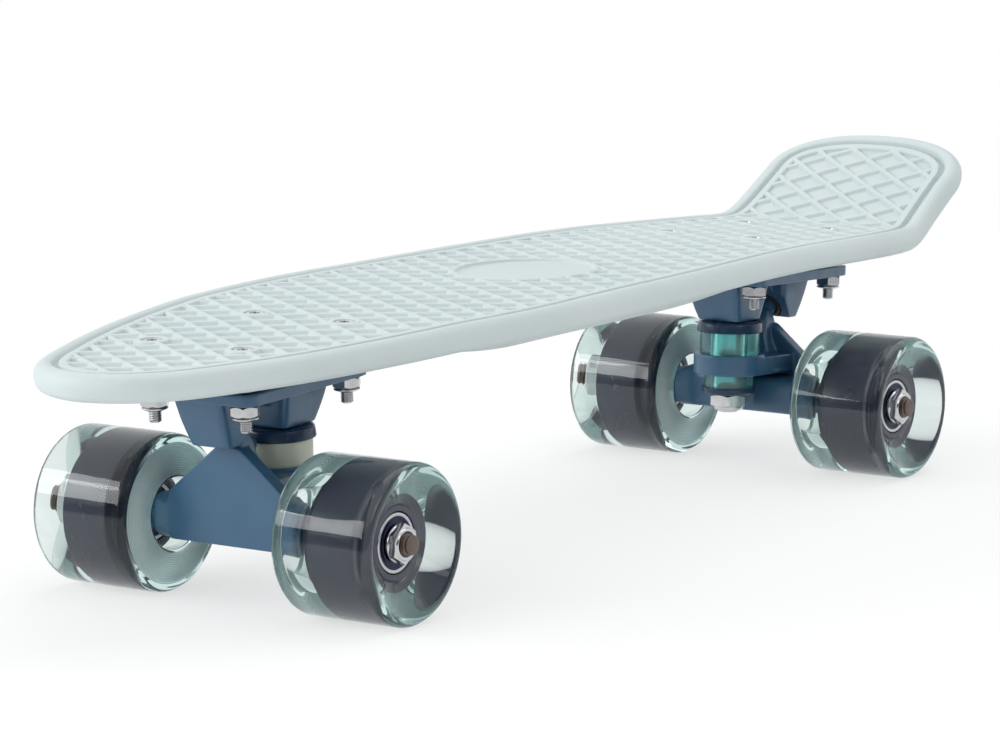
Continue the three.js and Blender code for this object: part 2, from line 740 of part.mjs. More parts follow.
function hangerGeometry() {
  const back = hangerFace - facePlate;
  const beam = new THREE.Shape();
  beam.moveTo(back + overrun / 2, -hangerLow);
  beam.lineTo(back + overrun / 2, -hangerLow + beamHeight);
  const turn = -hangerBack + beamCorner;
  beam.absarc(turn, -hangerLow + beamHeight - beamCorner, beamCorner, Math.PI / 2, Math.PI);
  beam.absarc(turn, -hangerLow + beamCorner, beamCorner, Math.PI, Math.PI * 1.5);
  const face = new THREE.Shape([
    new THREE.Vector2(-hangerHalf, -hangerLow), new THREE.Vector2(hangerHalf, -hangerLow),
    new THREE.Vector2(hangerHalf, hangerHigh), new THREE.Vector2(hangerApexHalf, hangerApex),
    new THREE.Vector2(-hangerApexHalf, hangerApex), new THREE.Vector2(-hangerHalf, hangerHigh),
  ]);
  const plate = new THREE.ExtrudeGeometry(face, { depth: facePlate, bevelEnabled: false })
    .rotateX(Math.PI / 2).rotateZ(Math.PI / 2).translate(back, 0, 0);
  const bridge = raised([
    new THREE.Vector2(-kingpinOffset, -ringDiameter / 2), new THREE.Vector2(back + overrun / 2, -bridgeHalf),
    new THREE.Vector2(back + overrun / 2, bridgeHalf), new THREE.Vector2(-kingpinOffset, ringDiameter / 2),
  ], ringLevel, ringLevel + bridgeHeight);
  const fin = drawnOut([
    new THREE.Vector2(-finInnerLow, ringLevel + bridgeHeight / 2),
    new THREE.Vector2(back + facePlate / 2, ringLevel),
    new THREE.Vector2(back + facePlate / 2, hangerApex),
    new THREE.Vector2(finCrestOuter, finCrest),
    new THREE.Vector2(-finTopInner, finTopLevel),
    new THREE.Vector2(-finWaist, finWaistLevel),
    new THREE.Vector2(-finInnerLow, ringLevel + bridgeHeight),
  ], finHalf);
  const stemRadius = pivotStemDiameter / 2;
  const tip = pivotMouth + pivotCupLength - pivotCupFloor - seatGap;
  const stem = onSteering(turnedUp([
    [0, pivotStemStart], [stemRadius, pivotStemStart], [stemRadius, tip - pivotRound],
    [stemRadius - pivotRound, tip], [0, tip],
  ], pinSides));
  const ring = rodUp(ringDiameter / 2, ringLevel, ringLevel + ringHeight, wheelSides)
    .translate(-kingpinOffset, 0, 0);
  const collarEnd = wheelPlace - coreWidth / 2 - speedWasher - seatGap;
  const collar = turned(rodProfile(collarDiameter / 2, -collarEnd, collarEnd), pinSides);
  const atKingpin = (geometry) => geometry.translate(-kingpinOffset, 0, 0);
  const cut = [
    atKingpin(rodUp(ringBore / 2, ringLevel - overrun, ringLevel + ringHeight + overrun, bushingSides)),
    atKingpin(rodUp(
      upperBushingDiameter / 2 + boreGap, ringLevel + ringHeight - ringSeat,
      kingpinHousing.level, bushingSides,
    )),
    atKingpin(rodUp(lowerBushingDiameter / 2 + boreGap, 0, ringLevel + ringSeat, bushingSides)),
    atKingpin(rodUp(ringRecess / 2, -hangerLow - overrun, ringLevel, wheelSides)),
    turned(rodProfile(axleDiameter / 2 + boreGap, -axleLength, axleLength), pinSides),
  ];
  return combine([plate, drawnOut(beam, hangerHalf), bridge, fin, stem, ring, collar], cut);
}

function pivotCupGeometry() {
  const bore = pivotStemDiameter / 2 + boreGap;
  const radius = pivotCupDiameter / 2;
  const end = pivotMouth + pivotCupLength;
  return onSteering(turnedUp([
    [0, end - pivotCupFloor], [bore, end - pivotCupFloor], [bore, pivotMouth], [radius, pivotMouth],
    [radius, end - pivotRound], [radius - pivotRound, end], [0, end],
  ], pinSides));
}

// Steel axle with what is clamped on it at each end: speed washers, inner races and the spacer.
function axleGeometry() {
  const radius = axleDiameter / 2;
  const tip = axleLength / 2;
  const race = innerRaceDiameter / 2;
  const spacer = spacerDiameter / 2;
  const inboard = wheelPlace - coreWidth / 2;
  const outboard = wheelPlace + coreWidth / 2;
  const right = [
    [radius, inboard - speedWasher], [race, inboard - speedWasher], [race, inboard + bearingWidth],
    [spacer, inboard + bearingWidth], [spacer, outboard - bearingWidth], [race, outboard - bearingWidth],
    [race, outboard + speedWasher], [radius, outboard + speedWasher], [radius, tip - axleRound],
    [radius - axleRound, tip], [0, tip],
  ];
  const left = right.map(([r, y]) => [r, -y]).reverse();
  return turned([...left, ...right], pinSides);
}

function axleNutGeometry() {
  const bore = axleDiameter / 2 + boreGap;
  const flange = turned(rodProfile(axleNutFlange / 2, 0, axleNutFlangeHeight), pinSides);
  const corner = axleNutAcross / 2 / Math.cos(Math.PI / 6);
  const hex = turned(rodProfile(corner, 0, axleNutHeight), 6);
  const hole = turned(rodProfile(bore, -overrun, axleNutHeight + overrun), pinSides);
  return combine([flange, hex], [hole]);
}

function tyreGeometry() {
  const radius = wheelDiameter / 2;
  const half = wheelWidth / 2;
  const boss = coreBossDiameter / 2 + seatGap;
  const flange = coreFlangeDiameter / 2 + seatGap;
  const flat = 1 / Math.cos(Math.PI / wheelSides);
  return turned([
    [boss, -half + tyreDish], [tyreRim, -half], [radius - tyreLipFlat / 2, -half + tyreLipFlat / 2],
    [radius * flat, -half + tyreLip], [radius * flat, half - tyreLip],
    [radius - tyreLipFlat / 2, half - tyreLipFlat / 2], [tyreRim, half], [boss, half - tyreDish],
    [boss, coreFlangeOutboard + seatGap], [flange, coreFlangeOutboard + seatGap],
    [flange, -coreFlangeInboard - seatGap], [boss, -coreFlangeInboard - seatGap],
    [boss, -half + tyreDish],
  ], wheelSides);
}

function coreGeometry() {
  const half = coreWidth / 2;
  const boss = coreBossDiameter / 2;
  const flange = coreFlangeDiameter / 2;
  const seat = bearingDiameter / 2 + boreGap;
  const bore = coreBore / 2;
  const shoulder = half - bearingWidth - seatGap;
  return turned([
    [seat, -half], [boss, -half], [boss, -coreFlangeInboard], [flange, -coreFlangeInboard],
    [flange, coreFlangeOutboard], [boss, coreFlangeOutboard], [boss, half], [seat, half],
    [seat, shoulder], [bore, shoulder], [bore, -shoulder], [seat, -shoulder], [seat, -half],
  ], coreSides);
}

// Outer ring of a ball bearing with its shield, which faces +Y.
function bearingGeometry() {
  const outer = bearingDiameter / 2;
  const inner = innerRaceDiameter / 2 + boreGap;
  const ring = outer - bearingOuterRing;
  return turned([
    [inner, 0], [outer, 0], [outer, bearingWidth], [ring, bearingWidth],
    [ring, bearingWidth - shieldRecess], [inner, bearingWidth - shieldRecess], [inner, 0],
  ], bearingSides);
}

function deckBoltGeometry() {
  const shank = boltDiameter / 2;
  const head = boltHeadDiameter / 2;
  const under = ridgeLevel - boltHeadHeight;
  const body = turnedUp([
    [0, boltTip], [shank, boltTip], [shank, under], [head, under], [head, ridgeLevel - seatGap],
    [0, ridgeLevel - seatGap],
  ], holeSides);
  const floor = ridgeLevel - seatGap - boltSocketDepth;
  return combine([body], [hexUp(boltSocketAcross, floor, ridgeLevel + overrun)]);
}

function deckNutGeometry() {
  const top = padLevel - plateThickness - seatGap * 2;
  const low = top - boltNutHeight - boltCollarHeight;
  const hex = hexUp(boltNutAcross, top - boltNutHeight, top);
  const collar = rodUp(boltCollarDiameter / 2, low, top - boltNutHeight / 2, holeSides);
  const hole = rodUp(boltDiameter / 2 + boreGap, low - overrun, top + overrun, holeSides);
  return combine([hex, collar], [hole]);
}

// Assembly
const board = new THREE.Group();
addPiece(board, 'deck', deckGeometry(), materials.deck);

const baseplate = baseplateGeometry();
const kingpin = kingpinGeometry();
const kingpinNutTop = stack.lowerCupLow - seatGap;
const kingpinNut = combine(
  [hexUp(kingpinNutAcross, kingpinNutTop - kingpinNutHeight, kingpinNutTop)],
  [rodUp(kingpinDiameter / 2 + boreGap, kingpinNutTop - kingpinNutHeight - overrun, kingpinNutTop + overrun)],
).translate(-kingpinOffset, 0, 0);
const upperBushing = bushingGeometry(upperBushingDiameter, stack.upperBushingLow, stack.upperBushingTop);
const lowerBushing = bushingGeometry(lowerBushingDiameter, stack.lowerBushingLow, stack.lowerBushingTop);
const upperWasher = cupWasherGeometry(
  upperCupDiameter, upperBushingDiameter, stack.upperCupTop, upperCupPlate, upperCupHeight, -1,
);
const lowerWasher = cupWasherGeometry(
  lowerCupDiameter, lowerBushingDiameter, stack.lowerCupLow, lowerCupPlate, lowerCupHeight, 1,
);
const hanger = hangerGeometry();
const pivotCup = pivotCupGeometry();
const axle = axleGeometry();
const axleNut = axleNutGeometry();
const tyre = tyreGeometry();
const core = coreGeometry();
const bearing = bearingGeometry();
const deckBolt = deckBoltGeometry();
const deckNut = deckNutGeometry();

// One wheel on the side of Y that side gives; its outboard face points away from the board.
function addWheel(parent, name, side) {
  const wheel = new THREE.Group();
  wheel.position.y = side * wheelPlace;
  if (side < 0) wheel.rotation.z = Math.PI;
  parent.add(wheel);
  addPiece(wheel, `${name}_tyre`, tyre, materials.urethane);
  addPiece(wheel, `${name}_core`, core, materials.core);
  const outboard = addPiece(wheel, `${name}_outboard_bearing`, bearing, materials.shield);
  outboard.position.y = coreWidth / 2 - bearingWidth;
  const inboard = addPiece(wheel, `${name}_inboard_bearing`, bearing, materials.shield);
  inboard.rotation.z = Math.PI;
  inboard.position.y = -coreWidth / 2 + bearingWidth;
  const nut = addPiece(wheel, `${name}_axle_nut`, axleNut, materials.steel);
  nut.position.y = coreWidth / 2 + speedWasher + seatGap;
}

for (const truck of trucks) {
  const place = new THREE.Group();
  place.position.set(truck.x, 0, axleHeight);
  place.rotation.z = truck.turn;
  board.add(place);
  const tilted = new THREE.Group();
  tilted.rotation.y = plateTilt;
  place.add(tilted);
  const add = (name, geometry, material) => addPiece(tilted, `${truck.name}_${name}`, geometry, material);
  add('baseplate', baseplate, materials.truck);
  add('kingpin', kingpin, materials.steel);
  add('kingpin_nut', kingpinNut, materials.steel);
  add('pivot_cup', pivotCup, materials.pivotCup);
  add('upper_washer', upperWasher, materials.truck);
  add('lower_washer', lowerWasher, materials.truck);
  add('upper_bushing', upperBushing, truck.bushing);
  add('lower_bushing', lowerBushing, truck.bushing);
  add('hanger', hanger, materials.truck);
  add('axle', axle, materials.steel);
  boltPlaces.forEach(([x, y], k) => {
    const row = x < 0 ? 'inner' : 'outer';
    const side = (y > 0) === (truck.turn === 0) ? 'left' : 'right';
    add(`${row}_${side}_bolt`, deckBolt, materials.steel).position.set(x, y, 0);
    add(`${row}_${side}_nut`, deckNut, materials.steel).position.set(x, y, 0);
  });
  for (const side of [1, -1]) {
    const hand = side > 0 === (truck.turn === 0) ? 'left' : 'right';
    addWheel(place, `${truck.name}_${hand}`, side);
  }
}

// The origin is the middle of the footprint, on the ground.
const box = new THREE.Box3().setFromObject(board);
board.position.x = -(box.min.x + box.max.x) / 2;
board.updateMatrixWorld(true);

export default board;
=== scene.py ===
import json
import math

import bmesh
import bpy
import numpy as np
from mathutils import Matrix, Vector, kdtree

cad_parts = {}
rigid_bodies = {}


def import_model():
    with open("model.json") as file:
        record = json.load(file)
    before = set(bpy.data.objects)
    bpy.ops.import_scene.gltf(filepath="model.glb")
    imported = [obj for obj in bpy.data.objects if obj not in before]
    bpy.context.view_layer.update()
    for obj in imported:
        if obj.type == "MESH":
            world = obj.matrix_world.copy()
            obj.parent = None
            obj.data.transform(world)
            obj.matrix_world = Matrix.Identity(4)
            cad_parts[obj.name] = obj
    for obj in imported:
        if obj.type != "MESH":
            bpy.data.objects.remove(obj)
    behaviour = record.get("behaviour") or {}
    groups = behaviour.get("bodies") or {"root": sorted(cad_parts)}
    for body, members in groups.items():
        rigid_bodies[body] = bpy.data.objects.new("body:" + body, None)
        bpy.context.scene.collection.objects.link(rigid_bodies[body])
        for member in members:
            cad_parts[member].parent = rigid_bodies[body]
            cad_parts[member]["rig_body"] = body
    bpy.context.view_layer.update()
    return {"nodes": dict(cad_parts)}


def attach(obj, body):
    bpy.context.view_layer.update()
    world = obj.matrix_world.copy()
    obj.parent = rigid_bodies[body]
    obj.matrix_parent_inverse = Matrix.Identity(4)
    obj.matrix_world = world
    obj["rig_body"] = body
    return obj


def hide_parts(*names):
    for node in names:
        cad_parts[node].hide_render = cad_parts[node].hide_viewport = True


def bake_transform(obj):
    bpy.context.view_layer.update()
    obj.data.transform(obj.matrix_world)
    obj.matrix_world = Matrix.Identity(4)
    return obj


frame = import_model()
NODES = frame["nodes"]

# Lengths are in millimetres until a mesh is made.
MM = 0.001
# The mesh width of the skin over a cast piece.
SKIN_STEP = 0.45
# Points nearer to each other than this many metres become one.
WELD = 1e-5
# A rounded corner takes up to this share of the shorter side next to it.
NEARLY_HALF = 0.48

# The deck's side curve: its level parts, its nose and its kicked tail.
DECK_LENGTH, DECK_WIDTH = 559.0, 144.0
MID_HEIGHT, NOSE_HEIGHT, NOSE_RUN, NOSE_RISE = 97.8, 92.2, 31.5, 0.5
FLAT_FRONT, FLAT_REAR = 58.0, 84.0
KICK_ANGLE, KICK_RADIUS, KICK_START = math.radians(29.5), 20.0, 43.5
STRAIGHT_INNER, STRAIGHT_OUTER = 50.0, 34.0
# Its section, above and below the lip's middle: depths, heights and insets from the edge.
LIP_DEPTH, CROWN, RIDGE, CROWN_INSET, LIP_ROUND, LIP_FOOT = 5.7, 4.9, 4.4, 4.0, 1.4, 4.0
GROOVE_INSET, GROOVE_WIDTH, GROOVE_DEPTH = 8.0, 3.0, 2.4
BORDER_RIDGE, PIT_DEPTH = 3.0, 1.5
OVAL_X, OVAL_A, OVAL_B, OVAL_DEPTH, OVAL_RIM = 5.0, 30.0, 25.5, 1.2, 2.5
BELLY_DEPTH, TRUCK_BELLY, BELLY_RUN, BELLY_OUT = 12.5, 5.0, 60.0, 30.0
# Each truck's place along X and its turn; the levels are heights in the truck's own frame.
AXLE_Z, TILT = 29.5, math.radians(2.4)
TRUCKS = {"front": (183.0, 0.0), "rear": (-167.0, math.pi)}
RIDGE_LEVEL, PAD_LEVEL = 69.95, 54.3
PLATE_GAP, PLATE_THICK = 0.3, 4.2
BOLT_INNER, BOLT_OUTER, BOLT_SPREAD = 36.6, 22.9, 41.3
BOLTS = [(x, y) for x in (-BOLT_INNER, BOLT_OUTER) for y in (-BOLT_SPREAD / 2, BOLT_SPREAD / 2)]
# A wheel's middle from the deck's middle line, and each bearing's from the wheel's.
WHEEL_Y, BEARING_Y, AXLE_NUT_Y = 55.2, 6, 14.3
# The outline from nose to tail in shares of the length and half width, then the tail's round end.
TAIL_ROUND, TAIL_POWER = 30.0, 0.87
OUTLINE = [
    (0, 0), (0.0045, 0.167), (0.016, 0.32), (0.036, 0.45), (0.078, 0.6), (0.128, 0.74),
    (0.19, 0.862), (0.262, 0.953), (0.345, 1), (0.45, 0.968), (0.55, 0.937), (0.64, 0.892),
    (0.72, 0.845), (0.79, 0.8), (0.8435, 0.757), (0.883, 0.706), (0.912, 0.68), (0.945, 0.667),
]


# Helpers for meshes: a shape is a pair of vertices and faces.

def truck_matrix(truck):
    """A truck's own frame: its axle lies on Y and its pivot points outward."""
    x, turn = TRUCKS[truck]
    place = Matrix.Translation((x, 0, AXLE_Z)) @ Matrix.Rotation(turn, 4, "Z")
    return place @ Matrix.Rotation(TILT, 4, "Y")


def moved(shape, matrix):
    verts, faces = shape
    m = np.array(matrix)
    return np.asarray(verts) @ m[:3, :3].T + m[:3, 3], faces


def joined(*shapes):
    verts, faces, at = [], [], 0
    for v, f in shapes:
        verts.append(np.asarray(v, float))
        faces += [tuple(i + at for i in face) for face in f]
        at += len(v)
    return np.vstack(verts), faces


def rounded(points, radius, steps=4, closed=False):
    """A polyline with its corners rounded; a point's third value is its own radius."""
    pts = [np.array(p[:2], float) for p in points]
    radii = [p[2] if len(p) > 2 else radius for p in points]
    out = []
    for k, p in enumerate(pts):
        ends = not closed and k in (0, len(pts) - 1)
        r = radii[k]
        if ends or r <= 0:
            out.append(p)
            continue
        a, b = pts[k - 1] - p, pts[(k + 1) % len(pts)] - p
        la, lb = np.linalg.norm(a), np.linalg.norm(b)
        d = min(r, la * NEARLY_HALF, lb * NEARLY_HALF)
        a, b = p + a / la * d, p + b / lb * d
        for t in np.linspace(0, 1, steps + 1):
            out.append((1 - t) ** 2 * a + 2 * t * (1 - t) * p + t * t * b)
    return np.array(out)


def lathe(profile, sides=64, axis="Z", closed=False):
    """Profile points are (radius, height); a closed one makes a ring."""
    p = np.asarray(profile, float)[:, :2]
    n = len(p)
    turn = np.arange(sides) * 2 * math.pi / sides
    c, s = np.cos(turn)[:, None], np.sin(turn)[:, None]
    r, h = p[:, 0][None], p[:, 1][None]
    flat = np.stack([r * c, r * s, np.repeat(h, sides, 0)], -1)
    if axis == "Y":
        flat = flat[..., [0, 2, 1]] * (1, 1, -1)
    verts = flat.reshape(-1, 3)
    faces = []
    last = n if closed else n - 1
    for i in range(sides):
        j = (i + 1) % sides
        for k in range(last):
            m = (k + 1) % n
            faces.append((i * n + k, j * n + k, j * n + m, i * n + m))
    return verts, faces


def bands(rows, around, closed=True):
    """Quads between neighbouring rows of points."""
    last = around if closed else around - 1
    quads = []
    for r in range(rows - 1):
        for k in range(last):
            a, b = r * around + k, r * around + (k + 1) % around
            quads.append((a, b, b + around, a + around))
    return quads


def circle(radius, sides):
    turn = np.arange(sides) * 2 * math.pi / sides
    return np.stack([radius * np.cos(turn), radius * np.sin(turn)], 1)


def prism(outline, low, high, plane="xy"):
    order = {"xy": (0, 1, 2), "xz": (0, 2, 1), "yz": (2, 0, 1)}[plane]
    n = len(outline)
    verts = [np.array((a, b, c), float)[list(order)] for c in (low, high) for a, b in outline]
    faces = [tuple(range(n))[::-1], tuple(range(n, 2 * n))]
    faces += [(k, (k + 1) % n, n + (k + 1) % n, n + k) for k in range(n)]
    return np.array(verts), faces


def at_height(outline, z):
    return np.column_stack([outline, np.full(len(outline), z)])


def lofted(rings):
    n = len(rings[0])
    verts = np.vstack(rings)
    caps = [tuple(range(n))[::-1], tuple(range(len(verts) - n, len(verts)))]
    return verts, caps + bands(len(rings), n)


def box_outline(x0, x1, half, radius, steps=6):
    corners = [(x0, -half), (x1, -half), (x1, half), (x0, half)]
    return rounded(corners, radius, steps, closed=True)


def mesh_of(name, shape, sharp=None, weld=WELD):
    verts, faces = shape
    mesh = bpy.data.meshes.new(name)
    mesh.from_pydata((np.asarray(verts, float) * MM).tolist(), [], faces)
    bm = bmesh.new()
    bm.from_mesh(mesh)
    if weld:
        bmesh.ops.remove_doubles(bm, verts=bm.verts, dist=weld)
        bmesh.ops.dissolve_degenerate(bm, edges=bm.edges, dist=weld)
    bmesh.ops.recalc_face_normals(bm, faces=bm.faces)
    bm.to_mesh(mesh)
    bm.free()
    mesh.shade_smooth()
    if sharp is not None:
        mesh.set_sharp_from_angle(angle=math.radians(sharp))
    return mesh


def cast(name, added, cuts, passes):
    """Solids joined and cut, then one even skin over them with softened corners."""
    base = bpy.data.objects.new(name, mesh_of(name, joined(*added), weld=0))
    tool = bpy.data.objects.new(name + "_cut", mesh_of(name + "_cut", joined(*cuts), weld=0))
    for o in (base, tool):
        bpy.context.scene.collection.objects.link(o)
    cut = base.modifiers.new("cut", "BOOLEAN")
    cut.operation, cut.object = "DIFFERENCE", tool
    cut.solver, cut.use_self = "EXACT", True
    skin = base.modifiers.new("skin", "REMESH")
    skin.mode, skin.voxel_size, skin.adaptivity = "VOXEL", SKIN_STEP * MM, 0
    soft = base.modifiers.new("soft", "SMOOTH")
    soft.factor, soft.iterations = 0.5, passes
    bpy.context.view_layer.update()
    graph = bpy.context.evaluated_depsgraph_get()
    mesh = bpy.data.meshes.new_from_object(base.evaluated_get(graph))
    mesh.name = name
    for o in (base, tool):
        bpy.data.objects.remove(o)
    mesh.shade_smooth()
    return mesh


def add(name, mesh, material, node, matrix=None, weighted=False, ride=True):
    """A new piece in place of a CAD node, on that node's body."""
    o = bpy.data.objects.new(name, mesh)
    bpy.context.scene.collection.objects.link(o)
    if matrix is not None:
        m = Matrix(matrix)
        m.translation = m.translation * MM
        o.matrix_world = m
    materials = material if isinstance(material, (list, tuple)) else [material]
    if not mesh.materials:
        for m in materials:
            mesh.materials.append(m)
    if weighted:
        w = o.modifiers.new("normals", "WEIGHTED_NORMAL")
        w.weight, w.keep_sharp = 60, True
    if ride:
        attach(o, NODES[node]["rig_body"])
    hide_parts(node)
    return o


# Materials

def srgb(r, g, b):
    out = []
    for c in (r, g, b):
        c /= 255
        out.append(c / 12.92 if c <= 0.04045 else ((c + 0.055) / 1.055) ** 2.4)
    return (*out, 1)


def new_node(tree, kind, **values):
    """A shader node; each keyword sets a socket or else a property."""
    n = tree.nodes.new(kind)
    for key, value in values.items():
        if key in n.inputs:
            n.inputs[key].default_value = value
        else:
            setattr(n, key, value)
    return n


# Where most of a noise's values lie.
NOISE_LOW, NOISE_HIGH = 0.3, 0.7


class Mat:
    """A material's node tree; keywords set the sockets of its Principled BSDF."""

    def __init__(self, name, **sockets):
        self.material = bpy.data.materials.new(name)
        self.material.use_nodes = True
        self.tree = self.material.node_tree
        self.bsdf = self.tree.nodes["Principled BSDF"]
        for key, value in sockets.items():
            self.bsdf.inputs[key.replace("_", " ")].default_value = value
        self.coords = self.node("ShaderNodeTexCoord").outputs["Object"]
        self.last_normal = None

    def node(self, kind, **values):
        return new_node(self.tree, kind, **values)

    def link(self, a, b):
        self.tree.links.new(a, b)

    def noise(self, scale, detail):
        n = self.node("ShaderNodeTexNoise", Scale=scale, Detail=detail, Roughness=0.5)
        self.link(self.coords, n.inputs["Vector"])
        return n.outputs["Fac"]

    def ramp(self, source, stops):
        r = self.node("ShaderNodeValToRGB")
        ramp = r.color_ramp
        while len(ramp.elements) < len(stops):
            ramp.elements.new(0.5)
        for e, (at, colour) in zip(ramp.elements, stops):
            e.position, e.color = at, colour
        self.link(source, r.inputs["Fac"])
        return r.outputs["Color"]

    def spread(self, source, low, high, a=NOISE_LOW, b=NOISE_HIGH):
        """The source's values from a to b, taken to low and high."""
        m = self.node("ShaderNodeMapRange")
        for key, value in (("From Min", a), ("From Max", b), ("To Min", low), ("To Max", high)):
            m.inputs[key].default_value = value
        self.link(source, m.inputs["Value"])
        return m.outputs["Result"]

    def bump(self, source, distance, strength):
        n = self.node("ShaderNodeBump", Strength=strength, Distance=distance * MM)
        self.link(source, n.inputs["Height"])
        if self.last_normal is not None:
            self.link(self.last_normal, n.inputs["Normal"])
        self.last_normal = n.outputs["Normal"]
        self.link(self.last_normal, self.bsdf.inputs["Normal"])

    def colour(self, source):
        self.link(source, self.bsdf.inputs["Base Color"])

    def rough(self, source):
        self.link(source, self.bsdf.inputs["Roughness"])

    def shades(self, source, dark, pale, a=NOISE_LOW, b=NOISE_HIGH):
        self.colour(self.ramp(source, [(a, srgb(*dark)), (b, srgb(*pale))]))

    def absorb(self, colour, density):
        depth = self.node("ShaderNodeVolumeAbsorption", Color=(*colour, 1), Density=density)
        self.link(depth.outputs[0], self.tree.nodes["Material Output"].inputs["Volume"])


def surface(name, tint, dark, pale, gloss, low, high, bumps, **sockets):
    """Two shades, an uneven roughness and fine bumps.

    tint and gloss are a noise's scale and detail, bumps a list of scale, height and strength.
    """
    m = Mat(name, **sockets)
    m.shades(m.noise(*tint), dark, pale)
    m.rough(m.spread(m.noise(*gloss), low, high))
    for scale, height, strength in bumps:
        m.bump(m.noise(scale, 2), height, strength)
    return m


def steel_material(name, low, high, pale, step=12):
    dark = [c - step for c in pale]
    bumps = [(800, 0.03, 0.3)]
    return surface(name, (90, 4), dark, pale, (260, 4), low, high, bumps, Metallic=1.0).material


def wheel_material(name, through, low, high, dark, pale, ringed=False):
    """Clear urethane that turns teal with the length of the light's way through it; a ringed one gets
    painted highlight and shade stripes for its turned rings.
    """
    m = surface(name, (20, 2), dark, pale, (40, 2), low, high, [(60, 0.06, 0.25)],
                Transmission_Weight=through, IOR=1.43, Specular_IOR_Level=0.5)
    if ringed:
        # The rings' light and dark stripes in the colour are painted highlight and shade over the real
        # relief of the turned rings.
        rings = m.node("ShaderNodeTexWave", Scale=483.0, Distortion=0.4, Detail=0.0,
                       wave_type="RINGS", rings_direction="Y")
        m.link(m.coords, rings.inputs["Vector"])
        m.shades(rings.outputs["Fac"], dark, pale, 0.1, 0.6)
    m.absorb((0.35, 0.72, 0.72), 9.5)
    return m.material


def bushing_material(name, dark, pale, through):
    m = surface(name, (30, 3), dark, pale, (100, 3), 0.1, 0.18, [(400, 0.03, 0.1)],
                Transmission_Weight=through, IOR=1.5)
    if through:
        m.absorb((0.06, 0.72, 0.7), 60.0)
    return m.material


DECK = surface(
    "deck_plastic", (14, 4), (195, 205, 206), (201, 210, 210), (60, 4), 0.5, 0.62,
    [(1500, 0.04, 0.5), (220, 0.08, 0.35)], Specular_IOR_Level=0.36,
).material
TRUCK = surface(
    "blue_painted_metal", (50, 4), (43, 84, 115), (49, 91, 122), (180, 4), 0.3, 0.46,
    [(900, 0.06, 0.45), (110, 0.12, 0.3)],
    Specular_IOR_Level=0.55, Coat_Weight=0.3, Coat_Roughness=0.25,
).material
# The washers carry the truck's blue paint; their darker shades are painted shade for their place under
# the deck, by the hanger's ring.
SHADED_WASHER_PAINT = surface(
    "washer_paint_painted_shade", (60, 3), (24, 47, 72), (29, 54, 80), (150, 3), 0.2, 0.3,
    [(700, 0.04, 0.3)], Specular_IOR_Level=0.4,
).material
STEEL = steel_material("bright_steel", 0.12, 0.26, (205, 206, 208))
RACE = steel_material("race_steel", 0.08, 0.18, (190, 191, 194))
THREAD = steel_material("worn_thread", 0.34, 0.5, (116, 104, 98))
WHEEL = wheel_material("wheel_urethane", 1.0, 0.0, 0.03, (236, 243, 241), (240, 246, 244))
# The ringed face's light and dark stripes are painted highlight and shade.
RINGED = wheel_material("ringed_urethane_painted_shade", 0.5, 0.4, 0.46, (158, 196, 197), (238, 254, 253), True)
CORE = surface(
    "core_plastic", (70, 3), (56, 56, 74), (62, 62, 80), (120, 3), 0.2, 0.28,
    [(90, 0.03, 0.15)], Specular_IOR_Level=0.5,
).material
SHIELD = surface(
    "bearing_shield", (90, 3), (34, 38, 62), (46, 50, 78), (200, 3), 0.25, 0.4,
    [(900, 0.04, 0.3)], Metallic=0.75,
).material
CUP = surface(
    "pivot_cup_urethane", (90, 3), (44, 30, 24), (62, 38, 26), (200, 3), 0.35, 0.5,
    [(900, 0.04, 0.3)],
).material
BUSHINGS = {
    "front": bushing_material("front_bushing_urethane", (186, 190, 172), (190, 194, 176), 0.0),
    "rear": bushing_material("rear_bushing_urethane", (190, 248, 246), (200, 252, 250), 0.9),
}


# The deck is drawn flat as distance along the lip, Y and height, then bent to the side view.

def lip_points(kick_steps=4):
    """The lip's middle in the side view, from nose to tail."""
    level = RIDGE_LEVEL - RIDGE

    def seat(truck, x):
        p = truck_matrix(truck) @ Vector((x, 0, level))
        return p.x, p.z

    foot = seat("rear", KICK_START)
    pts = [
        (DECK_LENGTH / 2, NOSE_HEIGHT), (DECK_LENGTH / 2 - NOSE_RUN, NOSE_HEIGHT + NOSE_RISE),
        seat("front", STRAIGHT_OUTER), seat("front", -STRAIGHT_INNER),
        (FLAT_FRONT, MID_HEIGHT), (-FLAT_REAR, MID_HEIGHT),
        seat("rear", -STRAIGHT_INNER), foot,
    ]
    for k in range(1, kick_steps + 1):
        a = (KICK_ANGLE + TILT) * k / kick_steps - TILT
        pts.append((
            foot[0] - KICK_RADIUS * (math.sin(a) + math.sin(TILT)),
            foot[1] + KICK_RADIUS * (math.cos(TILT) - math.cos(a)),
        ))
    reach = (LIP_DEPTH - LIP_ROUND) * math.sin(KICK_ANGLE) - LIP_ROUND * math.cos(KICK_ANGLE)
    x, z = pts[-1]
    run = x + DECK_LENGTH / 2 - reach
    pts.append((x - run, z + run * math.tan(KICK_ANGLE)))
    return np.array(pts)


LIP = lip_points()
LIP_AT = np.concatenate([[0], np.cumsum(np.linalg.norm(np.diff(LIP, axis=0), axis=1))])
LIP_END = LIP_AT[-1]


